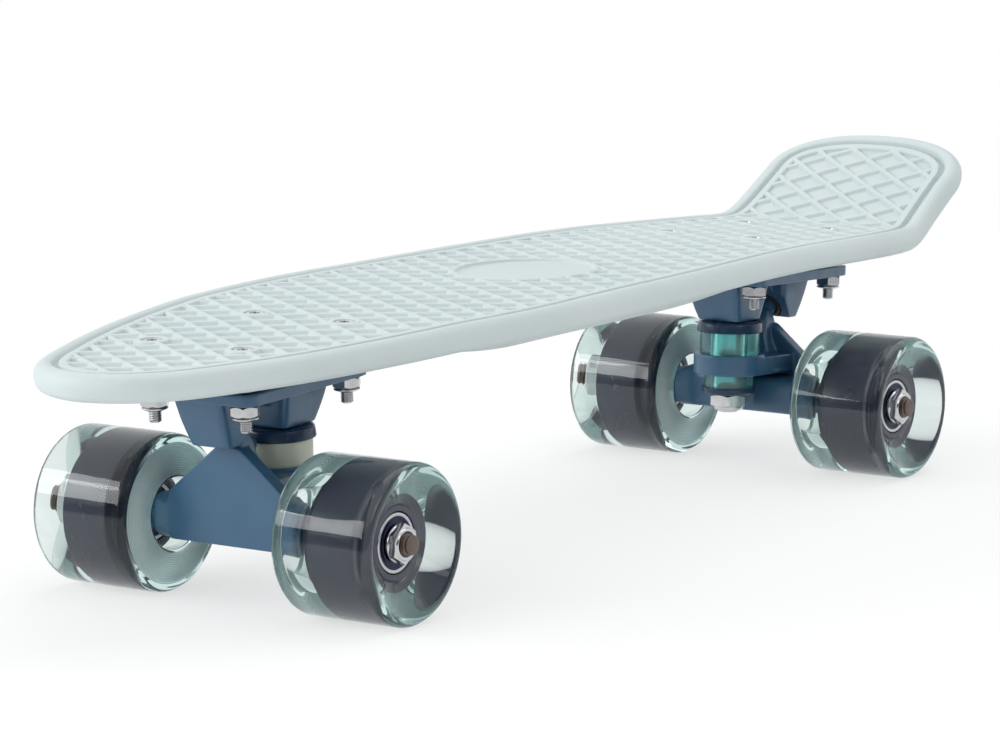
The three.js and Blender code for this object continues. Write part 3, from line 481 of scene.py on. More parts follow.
def smooth_lip(sigma=4.5, margin=60, step=0.5, reach=40):
    """The side curve with its corners blurred, and its direction, at even steps."""
    at = np.arange(-margin, LIP_END + margin, step)
    line = np.stack([np.interp(at, LIP_AT, LIP[:, k]) for k in (0, 1)], 1)
    first = (LIP[1] - LIP[0]) / (LIP_AT[1] - LIP_AT[0])
    last = (LIP[-1] - LIP[-2]) / (LIP_AT[-1] - LIP_AT[-2])
    line[at < 0] = LIP[0] + first * at[at < 0][:, None]
    line[at > LIP_END] = LIP[-1] + last * (at[at > LIP_END] - LIP_END)[:, None]
    k = np.arange(-reach, reach + 1) * step
    w = np.exp(-(k / sigma) ** 2 / 2)
    w /= w.sum()
    soft = np.stack([np.convolve(line[:, c], w, "valid") for c in (0, 1)], 1)
    at = at[reach:-reach]
    way = np.gradient(soft, at, axis=0)
    return at, soft, way / np.linalg.norm(way, axis=1)[:, None]


SOFT_AT, SOFT, SOFT_WAY = smooth_lip()


def bent(along, y, height):
    """From flat to the side curve."""
    along, y, height = np.broadcast_arrays(np.asarray(along, float), y, height)
    x, z = (np.interp(along, SOFT_AT, SOFT[:, k]) for k in (0, 1))
    wx, wz = (np.interp(along, SOFT_AT, SOFT_WAY[:, k]) for k in (0, 1))
    return np.stack([x + wz * height, y, z - wx * height], -1)


def along_at(x):
    return float(np.interp(-x, -LIP[:, 0], LIP_AT))


def catmull(points, steps):
    """A centripetal Catmull-Rom line through the points."""
    p = np.asarray(points, float)
    p = np.vstack([2 * p[0] - p[1], p, 2 * p[-1] - p[-2]])
    out = []
    for k in range(1, len(p) - 2):
        q = p[k - 1:k + 3]
        t = np.concatenate([[0], np.cumsum(np.linalg.norm(np.diff(q, axis=0), axis=1) ** 0.5)])
        for x in np.linspace(t[1], t[2], steps, endpoint=False):
            a = [((t[i + 1] - x) * q[i] + (x - t[i]) * q[i + 1]) / (t[i + 1] - t[i]) for i in range(3)]
            b = [((t[i + 2] - x) * a[i] + (x - t[i]) * a[i + 1]) / (t[i + 2] - t[i]) for i in range(2)]
            out.append(((t[2] - x) * b[0] + (x - t[1]) * b[1]) / (t[2] - t[1]))
    out.append(p[-2])
    return np.array(out)


def resampled(line, step):
    at = np.concatenate([[0], np.cumsum(np.linalg.norm(np.diff(line, axis=0), axis=1))])
    to = np.linspace(0, at[-1], int(round(at[-1] / step)) + 1)
    return np.stack([np.interp(to, at, line[:, k]) for k in (0, 1)], 1)


def half_outline(steps=24, tail_steps=60, spacing=1.5):
    """The left half of the flat outline, from the nose's tip to the tail's."""
    half = [(along_at(DECK_LENGTH / 2 - x * DECK_LENGTH), w * DECK_WIDTH / 2) for x, w in OUTLINE]
    mirrored = [(s, -y) for s, y in half[:0:-1]]
    curve = catmull(mirrored + half, steps)
    curve = curve[len(mirrored) * steps:]
    side = curve[-1][1]
    turn = np.linspace(0, math.pi / 2, tail_steps)[:-1]
    reach, across = np.sin(turn) ** TAIL_POWER, np.cos(turn) ** TAIL_POWER
    end = np.stack([LIP_END - TAIL_ROUND + TAIL_ROUND * reach, side * across], 1)
    return resampled(np.vstack([curve, end, [[LIP_END, 0]]]), spacing)


# Points along the left half, their direction along the edge and the way out of it.
HALF = half_outline()
HALF[0] = (0, 0)
WAY = np.gradient(HALF, axis=0)
WAY /= np.linalg.norm(WAY, axis=1)[:, None]
WAY[0], WAY[-1] = (0, 1), (0, -1)
OUT = np.stack([-WAY[:, 1], WAY[:, 0]], 1)


def inset_half(d):
    return HALF - OUT * d


def loop(d):
    """The whole outline, moved in by d."""
    left = inset_half(d)
    return np.vstack([left, left[-2:0:-1] * (1, -1)])


def edge_shell():
    """Lip, crown, groove and border ridge, swept round the outline."""
    half = GROOVE_WIDTH / 2
    floor = RIDGE - PIT_DEPTH
    border = GROOVE_INSET + half + BORDER_RIDGE
    profile = rounded([
        (border + 1.0, floor - 0.3, 0), (border + 0.35, floor + 0.1, 0.3), (border, RIDGE, 0.7),
        (GROOVE_INSET + half, RIDGE, 0.5), (GROOVE_INSET + 0.9, RIDGE - GROOVE_DEPTH, 0.5),
        (GROOVE_INSET - 0.55, RIDGE - GROOVE_DEPTH, 0.5), (GROOVE_INSET - half, RIDGE, 0.8),
        (CROWN_INSET, CROWN, 1.6), (LIP_ROUND, CROWN - LIP_ROUND, 1.6), (0, 0, 2.6),
        (LIP_ROUND, -LIP_DEPTH + LIP_ROUND, 1.6), (LIP_FOOT, -LIP_DEPTH, 1.2),
        (GROOVE_INSET, -LIP_DEPTH, 0),
    ], 1)
    rings = [bent(*loop(d).T, h) for d, h in profile]
    return np.vstack(rings), bands(len(rings), len(rings[0]))


def belly_depth(x, blur=7.0):
    """How far the belly hangs below the lip at each X."""
    f, r = TRUCKS["front"][0], TRUCKS["rear"][0]
    knots = [
        (f + STRAIGHT_OUTER + BELLY_OUT, 0), (f + STRAIGHT_OUTER, TRUCK_BELLY),
        (f - STRAIGHT_INNER, TRUCK_BELLY), (f - STRAIGHT_INNER - BELLY_RUN, BELLY_DEPTH),
        (r + STRAIGHT_INNER + BELLY_RUN, BELLY_DEPTH), (r + STRAIGHT_INNER, TRUCK_BELLY),
        (r - STRAIGHT_OUTER, TRUCK_BELLY), (r - KICK_START, 0),
    ]
    xs, ds = np.array(knots[::-1]).T
    fine = np.arange(-320, 320, 1.0)
    line = np.interp(fine, xs, ds)
    k = np.arange(-24, 25)
    w = np.exp(-(k / blur) ** 2 / 2)
    return np.interp(x, fine, np.convolve(line, w / w.sum(), "same"))


def underside(least_step=0.4):
    """The belly: full under the middle, thin at the lip's foot."""
    left = inset_half(GROOVE_INSET)
    rows = [0]
    for k in range(1, len(left)):
        if left[k][0] > left[rows[-1]][0] + least_step:
            rows.append(k)
    across = np.linspace(-1, 1, 49)
    share = np.interp(np.abs(across), [0, 0.42, 0.72, 1], [1, 1, 0.6, 0])
    share = np.convolve(np.pad(share, 4, "edge"), np.ones(9) / 9, "valid")
    share[[0, -1]] = 0
    pts = []
    for k in rows:
        s, y = left[k]
        x = np.interp(s, SOFT_AT, SOFT[:, 0])
        pts.append(bent(s, y * across, -LIP_DEPTH - belly_depth(x) * share))
    return np.vstack(pts), bands(len(rows), len(across), closed=False)


# The ridges cross in rows that meet the bolts; a smooth pad stands round each bolt.
PITCH_ALONG = (BOLT_INNER + BOLT_OUTER) / 4.5
PITCH_ACROSS = BOLT_SPREAD / 2
PAD_HALF = 6.4
# How far a ridge has fallen at some distances from its middle line, and in a pit's middle.
FALL_AT = [0, 0.7, 1.1, 1.4, 1.75, 2.1]
FALL = [0.02, 0.1, 0.4, 1.17, 1.48, 1.52, 1.52]


def bolt_spots():
    spots = []
    for truck in TRUCKS:
        for x, y in BOLTS:
            p = truck_matrix(truck) @ Vector((x, y, RIDGE_LEVEL - RIDGE))
            spots.append((along_at(p.x), p.y))
    return spots


def clipped(verts, quads, keep):
    """Quads cut off along the line where keep falls below zero."""
    verts, out, cache = list(map(tuple, verts)), [], {}
    for q in quads:
        inside = [keep[i] >= 0 for i in q]
        if all(inside):
            out.append(q)
            continue
        if not any(inside):
            continue
        face = []
        for k in range(len(q)):
            a, b = q[k], q[(k + 1) % len(q)]
            if inside[k]:
                face.append(a)
            if inside[k] != inside[(k + 1) % len(q)]:
                key = (min(a, b), max(a, b))
                if key not in cache:
                    t = keep[key[0]] / (keep[key[0]] - keep[key[1]])
                    p, r = np.array(verts[key[0]]), np.array(verts[key[1]])
                    cache[key] = len(verts)
                    verts.append(tuple(p + (r - p) * t))
                face.append(cache[key])
        if len(face) > 2:
            out.append(tuple(face))
    return np.array(verts), out


def waffle():
    """Diamond pits between crossing ridges, on a grid that follows both sets of ridges."""
    slope = math.hypot(2 / PITCH_ALONG, 2 / PITCH_ACROSS)
    offsets = np.array([*FALL_AT, 1 / slope])
    period = np.unique(np.round(np.concatenate([-offsets, offsets]) * slope, 9))
    spots = bolt_spots()
    s0 = spots[0][0]
    lows = math.floor(-(s0 / PITCH_ALONG + DECK_WIDTH / PITCH_ACROSS)) - 1
    highs = math.ceil((LIP_END - s0) / PITCH_ALONG + DECK_WIDTH / PITCH_ACROSS) + 1
    lines = np.unique(np.round(np.concatenate([period + 1 + 2 * k for k in range(lows, highs)]), 9))
    u, v = np.meshgrid(lines, lines, indexing="ij")
    s = s0 + (u + v) / 2 * PITCH_ALONG / 2
    y = (u - v) / 2 * PITCH_ACROSS / 2
    half_width = np.interp(s, HALF[:, 0], HALF[:, 1], left=-20, right=-20)
    near = (np.abs(y) < half_width) & (s > CROWN_INSET) & (s < LIP_END - CROWN_INSET)
    quad = near[:-1, :-1] | near[1:, :-1] | near[:-1, 1:] | near[1:, 1:]
    used = np.zeros_like(near)
    for a, b in ((0, 0), (1, 0), (0, 1), (1, 1)):
        used[a:a + quad.shape[0], b:b + quad.shape[1]] |= quad
    number = np.cumsum(used.ravel()).reshape(used.shape) - 1
    i, j = np.nonzero(quad)
    quads = np.stack([number[i, j], number[i + 1, j], number[i + 1, j + 1], number[i, j + 1]], 1)
    s, y, u, v = s[used], y[used], u[used], v[used]
    dist = np.minimum(np.abs(np.mod(u, 2) - 1), np.abs(np.mod(v, 2) - 1)) / slope
    height = RIDGE - np.interp(dist, offsets, FALL)
    # The pits end at the border ridge, the bolt pads and the oval.
    fine = resampled(HALF, 0.75)
    tree = kdtree.KDTree(len(fine))
    for k, p in enumerate(fine):
        tree.insert((p[0], p[1], 0), k)
    tree.balance()
    depth = np.array([tree.find((a, abs(b), 0))[2] for a, b in zip(s, y)])
    inside = np.abs(y) < np.interp(s, HALF[:, 0], HALF[:, 1], left=-1, right=-1)
    depth = np.where(inside, depth, -depth)
    keep = depth - (GROOVE_INSET + GROOVE_WIDTH / 2 + BORDER_RIDGE / 2)
    for bs, by in spots:
        keep = np.minimum(keep, np.hypot(s - bs, y - by) - PAD_HALF + 1)
    oval = along_at(OVAL_X)
    a, b = OVAL_A + OVAL_RIM / 2, OVAL_B + OVAL_RIM / 2
    keep = np.minimum(keep, (np.hypot((s - oval) / a, y / b) - 1) * b)
    points = np.stack([s, y, height], 1)
    flat, faces = clipped(points, [tuple(q) for q in quads.tolist()], keep)
    return bent(*flat.T), faces


def oval_field():
    """The smooth oval and its rim."""
    s0 = along_at(OVAL_X)
    floor = RIDGE - OVAL_DEPTH
    rim = rounded([
        (0, floor, 0), (OVAL_B - 0.4, floor, 0.5), (OVAL_B, RIDGE, 0.6),
        (OVAL_B + OVAL_RIM, RIDGE, 0.8), (OVAL_B + OVAL_RIM + 0.8, RIDGE - PIT_DEPTH - 0.3, 0),
    ], 1)
    profile = [(q * OVAL_B, floor) for q in (0, 0.3, 0.6, 0.85)] + list(map(tuple, rim[1:]))
    turn = np.linspace(0, 2 * math.pi, 160, endpoint=False)
    rings = []
    for r, h in profile:
        a = r + OVAL_A - OVAL_B if r > OVAL_B * 0.9 else r * OVAL_A / OVAL_B
        rings.append(bent(s0 + a * np.cos(turn), r * np.sin(turn), h))
    return np.vstack(rings), bands(len(rings), len(turn))


def bolt_pads(hole=2.8, head_hole=4.0, head_depth=3.1):
    """The smooth pads round the bolt holes, each with its stepped hole."""
    low, seat = RIDGE_LEVEL - PIT_DEPTH - 0.4, RIDGE_LEVEL - head_depth
    profile = rounded([
        (hole, low - 8, 0), (hole, seat, 0.2), (head_hole, seat, 0.2), (head_hole, RIDGE_LEVEL, 0.5),
        (PAD_HALF, RIDGE_LEVEL, 0.7), (PAD_HALF + 0.6, low, 0),
    ], 0.4, 3)
    shapes = []
    for truck in TRUCKS:
        for x, y in BOLTS:
            place = truck_matrix(truck) @ Matrix.Translation((x, y, 0))
            shapes.append(moved(lathe(profile, 40), place))
    return joined(*shapes)


def truck_pads(inner=-40.4, outer=26.8, half=25.2, corner=4):
    """The pads under the deck that the baseplates sit against, with rounded lower edges."""
    rings = []
    for grow, rise in ((-1.2, 0), (-0.4, 0.35), (0, 1.2), (0.4, 5.5)):
        o = box_outline(inner - grow, outer + grow, half + grow, corner + max(grow, 0))
        rings.append(at_height(o, PAD_LEVEL + rise))
    return joined(*(moved(lofted(rings), truck_matrix(truck)) for truck in TRUCKS))


deck = joined(edge_shell(), underside(), waffle(), oval_field(), bolt_pads(), truck_pads())
add("deck_board", mesh_of("deck_board", deck, weld=0), DECK, "deck", weighted=True)


# Round and small pieces

def thread(radius, start, end, pitch, depth):
    """Profile points of a threaded length: crest, flank and root of each turn."""
    pts = []
    for k in range(int((end - start) / pitch)):
        z = start + k * pitch
        pts += [
            (radius, z, 0), (radius, z + pitch * 0.15, 0),
            (radius - depth, z + pitch * 0.5, 0), (radius - depth, z + pitch * 0.6, 0),
        ]
    return pts


def hex_ring(across, low, high, bore, chamfer=0.45, axis="Z", edge=0.3, n=60):
    """A nut or head with rounded-off corners at its faces."""
    turn = np.arange(n) * 2 * math.pi / n
    inner = across / 2
    r = inner / np.cos(np.mod(turn + math.pi / 6, math.pi / 3) - math.pi / 6)
    face = inner * 0.96
    drop = (r - face) * chamfer
    rings = [
        (bore, low + edge), (bore + edge, low), (face, low), (r, low + drop),
        (r, high - drop), (face, high), (bore + edge, high), (bore, high - edge),
    ]
    verts = np.vstack([
        np.stack([a * np.cos(turn), a * np.sin(turn), np.broadcast_to(z, n)], 1) for a, z in rings
    ])
    if axis == "Y":
        verts = verts[:, [0, 2, 1]] * (1, 1, -1)
    return verts, bands(len(rings), n)


def two_part(mesh, first, second, is_second):
    """Two materials on one mesh, told apart by a face's middle in millimetres."""
    mesh.materials.append(first)
    mesh.materials.append(second)
    for p in mesh.polygons:
        p.material_index = int(is_second(*(p.center / MM)))
    return mesh


def tyre_mesh(radius=29.5, half=21.5, bore=12.4, mouth=13.3):
    """Urethane with a nearly flat inboard face, turned in rings, and a dished outboard one."""
    turns, wave_height, rise = 19, 0.11, 1.5
    ringed = []
    for t in np.linspace(1, 0, 160):
        wave = wave_height * math.sin(t * turns * 2 * math.pi) * min(1, t * 8, (1 - t) * 8)
        ringed.append((26.2 - 11.9 * t, -(half + rise * math.sin(t * math.pi / 2) + wave), 0))
    profile = [
        (bore, -12.0, 0), (mouth, -12.0, 0), (mouth, -22.7, 0.7), *ringed,
        (27.9, -half, 1.6), (radius, -19.6, 1.8), (radius, 19.6, 1.8), (27.9, half, 1.6),
        (25.5, half, 1.2), (14.4, 13.7, 0.6), (13.75, 13.0, 0.3), (13.75, 12.6, 0.2), (bore, 12.0, 0),
    ]
    tyre = mesh_of("tyre_form", lathe(rounded(profile, 1, 5, closed=True), 128, "Y", closed=True))
    return two_part(tyre, WHEEL, RINGED, lambda x, y, z: y < -21.3 and 14.2 < math.hypot(x, z) < 26.2)


def core_mesh(seat=11.35, neck=13.5, drum=19.9, bore=9.5):
    """The hard core: a drum between two necks, each with a bearing's seat."""
    profile = rounded([
        (seat, -13, 0.3), (neck, -13, 0.3), (neck, -8.9, 0.6), (drum, -8.9, 0.8), (drum, 11, 0.8),
        (neck, 11, 0.6), (neck, 13, 0.3), (seat, 13, 0.3), (seat, 5.8, 0.1), (bore, 5.8, 0.3),
        (bore, -5.8, 0.3), (seat, -5.8, 0.1),
    ], 0.4, closed=True)
    return mesh_of("core_form", lathe(profile, 96, "Y", closed=True))


def bearing_mesh():
    """Outer ring, then a stepped shield with a pressed bead; it faces +Y."""
    ring = lathe(rounded([
        (9.6, 0.2, 0.2), (11, 0.2, 0.4), (11, 7, 0.5), (9.7, 7, 0.3), (9.5, 6.4, 0.1),
    ], 0.3, 3, closed=True), 72, "Y", closed=True)
    shield = lathe(rounded([
        (6.6, 1, 0), (9.6, 1, 0), (9.6, 6.45, 0.2), (9.0, 6.5, 0.3), (8.6, 6.15, 0.3), (7.4, 6.15, 0.3),
        (7.1, 6.4, 0.2), (6.6, 6.4, 0.1),
    ], 0.2, 3, closed=True), 72, "Y", closed=True)
    bearing = mesh_of("bearing_form", joined(ring, shield))
    return two_part(bearing, RACE, SHIELD, lambda x, y, z: math.hypot(x, z) < 9.55)


def axle_mesh(radius=4, washer=6.1, spacer=5.2, washers_end=68.6):
    """The axle with its inner races, spacers and speed washers; its ends are threaded."""
    half = [
        (radius, 40, 0), (radius, 41.2, 0), (washer, 41.2, 0.2), (washer, 49.2, 0.2), (spacer, 49.2, 0),
        (spacer, 61.2, 0), (washer, 61.2, 0.3), (washer, 67.9, 0.3), (5.9, washers_end, 0.2),
        (radius, washers_end, 0), *thread(radius, 68.7, 75.0, 1.0, 0.55),
        (3.7, 75.1, 0.2), (3.3, 75.7, 0.4), (0, 75.7, 0),
    ]
    right = rounded(half, 0.3, 3)
    left = right[::-1] * (1, -1)
    axle = mesh_of("axle_form", lathe(np.vstack([left, right]), 48, "Y"), sharp=45)
    return two_part(axle, STEEL, THREAD, lambda x, y, z: abs(y) > washers_end)


def axle_nut_mesh():
    """A nut between its flange and its round collar; it faces +Y."""
    flange = lathe(rounded([
        (4.3, -0.8, 0), (7.0, -0.8, 0.3), (7.1, -0.3, 0.4), (6.4, 0.5, 0.3), (4.3, 0.5, 0),
    ], 0.3, 3, closed=True), 64, "Y", closed=True)
    collar = lathe(rounded([
        (4.2, 2.0, 0), (6.1, 2.0, 0.2), (6.1, 2.8, 0.4), (5.5, 3.5, 0.5), (4.8, 3.5, 0.2),
        (4.4, 3.0, 0.1),
    ], 0.3, closed=True), 64, "Y", closed=True)
    nut = hex_ring(13, -0.3, 2.9, 4.1, axis="Y")
    return mesh_of("axle_nut_form", joined(flange, nut, collar), sharp=30)


def deck_bolt_mesh(shank=2.4, head=3.55, socket=1.85, tip=39.6, thread_end=52):
    """A countersunk bolt with a round socket, its head just under the ridges."""
    top = RIDGE_LEVEL - 0.3
    body = lathe(rounded([
        (0, tip, 0), (1.9, tip, 0.2), (2.2, 40.1, 0.1), *thread(shank, 40.2, thread_end, 0.8, 0.34),
        (shank, thread_end, 0), (shank, top - 2.8, 0.1), (head, top - 0.7, 0.3),
        (head, top - 0.25, 0.3), (3.3, top, 0.2), (socket, top, 0.1), (socket, top - 1.6, 0.1),
        (0, top - 1.7, 0),
    ], 0.1, 2), 36)
    return mesh_of("deck_bolt_form", body, sharp=40)


def deck_nut_mesh():
    """A lock nut under the baseplate with its round collar."""
    top = PAD_LEVEL - PLATE_THICK - 0.6
    nut = hex_ring(9.6, top - 4.0, top, 2.5, 0.75)
    collar = lathe(rounded([
        (2.5, top - 3.6, 0), (4.2, top - 3.6, 0), (4.2, top - 4.2, 0.1), (4.9, top - 4.3, 0.2),
        (4.9, top - 4.9, 0.4), (3.4, top - 5.5, 0.6), (2.8, top - 5.4, 0.2), (2.45, top - 5.0, 0),
    ], 0.3, closed=True), 48, closed=True)
    return mesh_of("deck_nut_form", joined(nut, collar), sharp=30)


# Heights along the kingpin: the hanger's ring, the cup washers round the bushings and the nut.
KINGPIN_X = -21.9
KINGPIN = Matrix.Translation((KINGPIN_X, 0, 0))
RING_LOW, RING_TOP = 10.0, 18.8
HOUSING_LOW, SEAT_GAP = 32.9, 0.3
UPPER_CUP_HEIGHT, UPPER_CUP_PLATE = 4.8, 2.4
LOWER_CUP_HEIGHT, LOWER_CUP_PLATE = 2.9, 1.4
CUP_TOP = HOUSING_LOW - SEAT_GAP
CUP_LOW = CUP_TOP - UPPER_CUP_HEIGHT
LOWER_CUP_TOP = RING_LOW - (CUP_LOW - RING_TOP) * 0.62
LOWER_CUP_LOW = LOWER_CUP_TOP - LOWER_CUP_HEIGHT
KINGPIN_NUT_TOP = LOWER_CUP_LOW - SEAT_GAP
# A bushing's ends sit this far inside the ring and off the washers' plates.
BUSHING_SINK, BUSHING_GAP, BUSHING_BULGE = 1, 0.1, 0.15
# The kingpin's hole in the baseplate, its nut and head across the flats, and the head's seat.
KINGPIN_HOLE, KINGPIN_ACROSS, HEAD_SEAT_ACROSS = 5.05, 14.3, 14.9


def kingpin_mesh(shank=4.75, tip=-6.2, end=50):
    body = lathe(rounded([
        (0, tip, 0), (3.9, tip, 0.4), (4.5, -5.6, 0.2), *thread(shank, -5.5, 3.5, 1.1, 0.5),
        (shank, 4, 0), (shank, end, 0), (0, end, 0),
    ], 0.2, 2), 48)
    head = hex_ring(KINGPIN_ACROSS, PAD_LEVEL - 5.3, PAD_LEVEL - 0.6, 0.3)
    return mesh_of("kingpin_form", joined(body, head), sharp=40)


def kingpin_nut_mesh(bore=4.9, collar=6.6):
    top = KINGPIN_NUT_TOP
    nut = hex_ring(KINGPIN_ACROSS, top - 5.0, top, bore)
    ring = lathe(rounded([
        (bore, top - 4.6, 0), (collar, top - 4.6, 0), (collar, top - 5.7, 0.5), (5.9, top - 6.5, 0.6),
        (bore, top - 6.4, 0.1),
    ], 0.3, closed=True), 56, closed=True)
    return mesh_of("kingpin_nut_form", joined(nut, ring), sharp=30)


def cup_washer_mesh(name, radius, inside, floor, plate, height, sense, bore=5.1):
    """A cup from its floor upward, or downward where sense is -1."""
    pts = rounded([
        (bore, 0, 0.2), (radius - 0.6, 0, 1.6), (radius, height, 0.5), (inside, height, 0.4),
        (inside, plate, 0.8), (bore, plate, 0.2),
    ], 0.4, 6, closed=True)
    pts[:, 1] = floor + sense * pts[:, 1]
    return mesh_of(name, lathe(pts, 80, closed=True))


def bushing_mesh(name, radius, low, high, bore=5.2):
    pts = [(bore, low, 0.5), (radius - 0.4, low, 0.9)]
    for t in np.linspace(0.08, 0.92, 14):
        pts.append((radius + BUSHING_BULGE * math.sin(t * math.pi), low + (high - low) * t, 0))
    pts += [(radius - 0.4, high, 0.9), (bore, high, 0.5)]
    return mesh_of(name, lathe(rounded(pts, 0.4, 5, closed=True), 80, closed=True))


# Cast pieces

# The steering axis runs from the ring's middle to the pivot; ON_STEER has it for its Z.
STEER = math.pi / 2 - math.radians(36)
RING_MIDDLE = Vector((KINGPIN_X, 0, (RING_LOW + RING_TOP) / 2))
ON_STEER = Matrix.Translation(RING_MIDDLE) @ Matrix.Rotation(STEER, 4, "Y")
RING_RADIUS = 14.9


def rod(radius, low, high, sides, matrix=None, plane="xy"):
    shape = prism(circle(radius, sides), low, high, plane)
    return moved(shape, matrix) if matrix is not None else shape


def hanger_mesh(bottom=-7.3, front=8.3, back=-9.4, barrel_end=38.6, neck_end=40.7):
    """Face plate, beam, bridge to the yoke ring, fin, pivot stem and axle barrels as one casting."""
    face = rounded([
        (-29, bottom, 1.6), (29, bottom, 1.6), (29, 10.2, 5), (25, 13.4, 3), (4.8, 29.8, 2.5),
        (-4.8, 29.8, 2.5), (-25, 13.4, 3), (-29, 10.2, 5),
    ], 1, 5, closed=True)
    plate = prism(face, 2.3, front, "yz")
    beam = prism(rounded([
        (5, bottom, 0), (5, 8.2, 0), (back, 8.2, 3.5), (back, bottom, 3.5),
    ], 1, 5, closed=True), -27, 27, "xz")
    foot = [(KINGPIN_X, -RING_RADIUS), (5, -17), (5, 17), (KINGPIN_X, RING_RADIUS)]
    bridge = prism(foot, RING_LOW, RING_LOW + 7.6)
    # The fin's inner edge, outer edge and half width at each height.
    levels = np.linspace(11, 35.4, 22)
    knots = [11, 15, 18, 22, 26.5, 31.5, 35.4]
    inner = np.interp(levels, knots, [-12, -10.2, -6.4, -3.8, -2.8, -1.6, 1.2])
    outer = np.interp(levels, [11, 29, 33, 35.4], [6, 7, 6.4, 4.6])
    half = np.interp(levels, [11, 14, 18, 22, 26, 31, 35.4], [17, 12.4, 8.4, 6.3, 5.3, 4.9, 3.6])
    fin = lofted([
        at_height(box_outline(a, b, h, 1.6, 4), z) for a, b, h, z in zip(inner, outer, half, levels)
    ])
    ring = rod(RING_RADIUS, RING_LOW, RING_TOP, 72, KINGPIN)
    stem = rod(3.8, 22, 44.6, 40, ON_STEER)
    tip = rod(3.0, 44, 45.4, 40, ON_STEER)
    barrel = lathe(rounded([
        (0, -neck_end, 0), (5.6, -neck_end, 0), (5.6, -barrel_end, 0.8), (7.8, -barrel_end, 1.2),
        (7.8, barrel_end, 1.2), (5.6, barrel_end, 0.8), (5.6, neck_end, 0), (0, neck_end, 0),
    ], 1, 5), 64, "Y")
    # Shoulders carry the beam's section over into the round barrel.
    shoulders = []
    for sense in (1, -1):
        rings = []
        for t in np.linspace(0, 1, 9):
            e = t * t * (3 - 2 * t)
            o = box_outline(back + 1.1 * e, front, 9.2 - 0.9 * e, 3 + 5.2 * e)
            y = np.full(len(o), sense * (24 + 12 * t))
            rings.append(np.column_stack([o[:, 0], y, o[:, 1] + 1.9 * (1 - e)]))
        shoulders.append(lofted(rings))
    # The kingpin's hole, the bushings' seats and the axle's hole.
    cuts = [
        rod(8, 0, 30, 56, KINGPIN), rod(12.75, RING_TOP - BUSHING_SINK, 40, 64, KINGPIN),
        rod(10.5, -2, RING_LOW + BUSHING_SINK, 64, KINGPIN), rod(13.5, -20, RING_LOW, 64, KINGPIN),
        rod(4.35, -60, 60, 40, plane="xz"),
    ]
    parts = [plate, beam, bridge, fin, ring, stem, tip, barrel, *shoulders]
    return cast("hanger_form", parts, cuts, 5)


def housing(level, low, root_level, root):
    """A block under the baseplate; low and root are its inner reach, outer reach and half width."""
    rings = []
    for t in np.linspace(0, 1, 5):
        bow = t + 0.10 * math.sin(math.pi * t)
        a, b, h = (p + (q - p) * bow for p, q in zip(low, root))
        rings.append(at_height(box_outline(-a, b, h, 3.0), level + (root_level - level) * t))
    return lofted(rings)


def baseplate_mesh():
    """Plate, kingpin housing, pivot housing and the web between them as one casting."""
    top = PAD_LEVEL - PLATE_GAP
    under = top - PLATE_THICK
    plate = prism(box_outline(-42.6, 29, 27.5, 5), under, top)
    root = under + 2
    kingpin = housing(HOUSING_LOW, (32.3, -13, 10), root, (38.6, -11, 13.5))
    pivot = housing(31.5, (-5, 18.6, 8.8), root, (-3, 25.5, 11.5))
    web = prism(box_outline(KINGPIN_X, 14.1, 4.5, 2), 42, root)
    # The pivot's bore and mouth, the kingpin's hole, its head's six-sided seat and the bolt holes.
    cuts = [
        rod(6.1, 27, 46.3, 48, ON_STEER),
        moved(prism(box_outline(-12, 12, 15, 0.5), 27, 37), ON_STEER),
        rod(KINGPIN_HOLE, 0, top + 5, 48, KINGPIN),
        rod(HEAD_SEAT_ACROSS / 2 / math.cos(math.pi / 6), top - 5.3, top + 5, 6, KINGPIN),
        *(rod(2.8, under - 5, top + 5, 32, Matrix.Translation((x, y, 0))) for x, y in BOLTS),
    ]
    return cast("baseplate_form", [plate, kingpin, pivot, web], cuts, 4)


def pivot_cup_mesh(bore=4.2, radius=5.8, mouth=37.0):
    """The cup round the pivot stem, along the steering axis."""
    return mesh_of("pivot_cup_form", lathe(rounded([
        (0, 45, 0), (bore, 45, 0.4), (bore, mouth, 0.4), (radius, mouth, 0.5), (radius, 45.4, 0.8),
        (5.0, 46, 0.5), (0, 46, 0),
    ], 0.3), 56))


# Assembly

HANGER, BASEPLATE, PIVOT_CUP = hanger_mesh(), baseplate_mesh(), pivot_cup_mesh()
KING, KING_NUT, AXLE, AXLE_NUT = kingpin_mesh(), kingpin_nut_mesh(), axle_mesh(), axle_nut_mesh()
BOLT, NUT = deck_bolt_mesh(), deck_nut_mesh()
TYRE, WHEEL_CORE, BEARING = tyre_mesh(), core_mesh(), bearing_mesh()
UPPER_CUP = cup_washer_mesh(
    "upper_washer_form", 13.85, 12.75, CUP_TOP, UPPER_CUP_PLATE, UPPER_CUP_HEIGHT, -1)
LOWER_CUP = cup_washer_mesh(
    "lower_washer_form", 11.5, 10.5, LOWER_CUP_LOW, LOWER_CUP_PLATE, LOWER_CUP_HEIGHT, 1)
# Each bushing's radius and the heights of its ends.
SPANS = {
    "upper": (12.35, RING_TOP - BUSHING_SINK + BUSHING_GAP, CUP_TOP - UPPER_CUP_PLATE - BUSHING_GAP),
    "lower": (
        10.1, LOWER_CUP_LOW + LOWER_CUP_PLATE + BUSHING_GAP, RING_LOW + BUSHING_SINK - BUSHING_GAP),
}
TURNED = Matrix.Rotation(math.pi, 4, "Z")


def add_all(prefix, pieces):
    for piece, mesh, material, node, slot, place in pieces:
        add(f"{prefix}_{piece}", mesh, material, f"{prefix}_{node}", place)


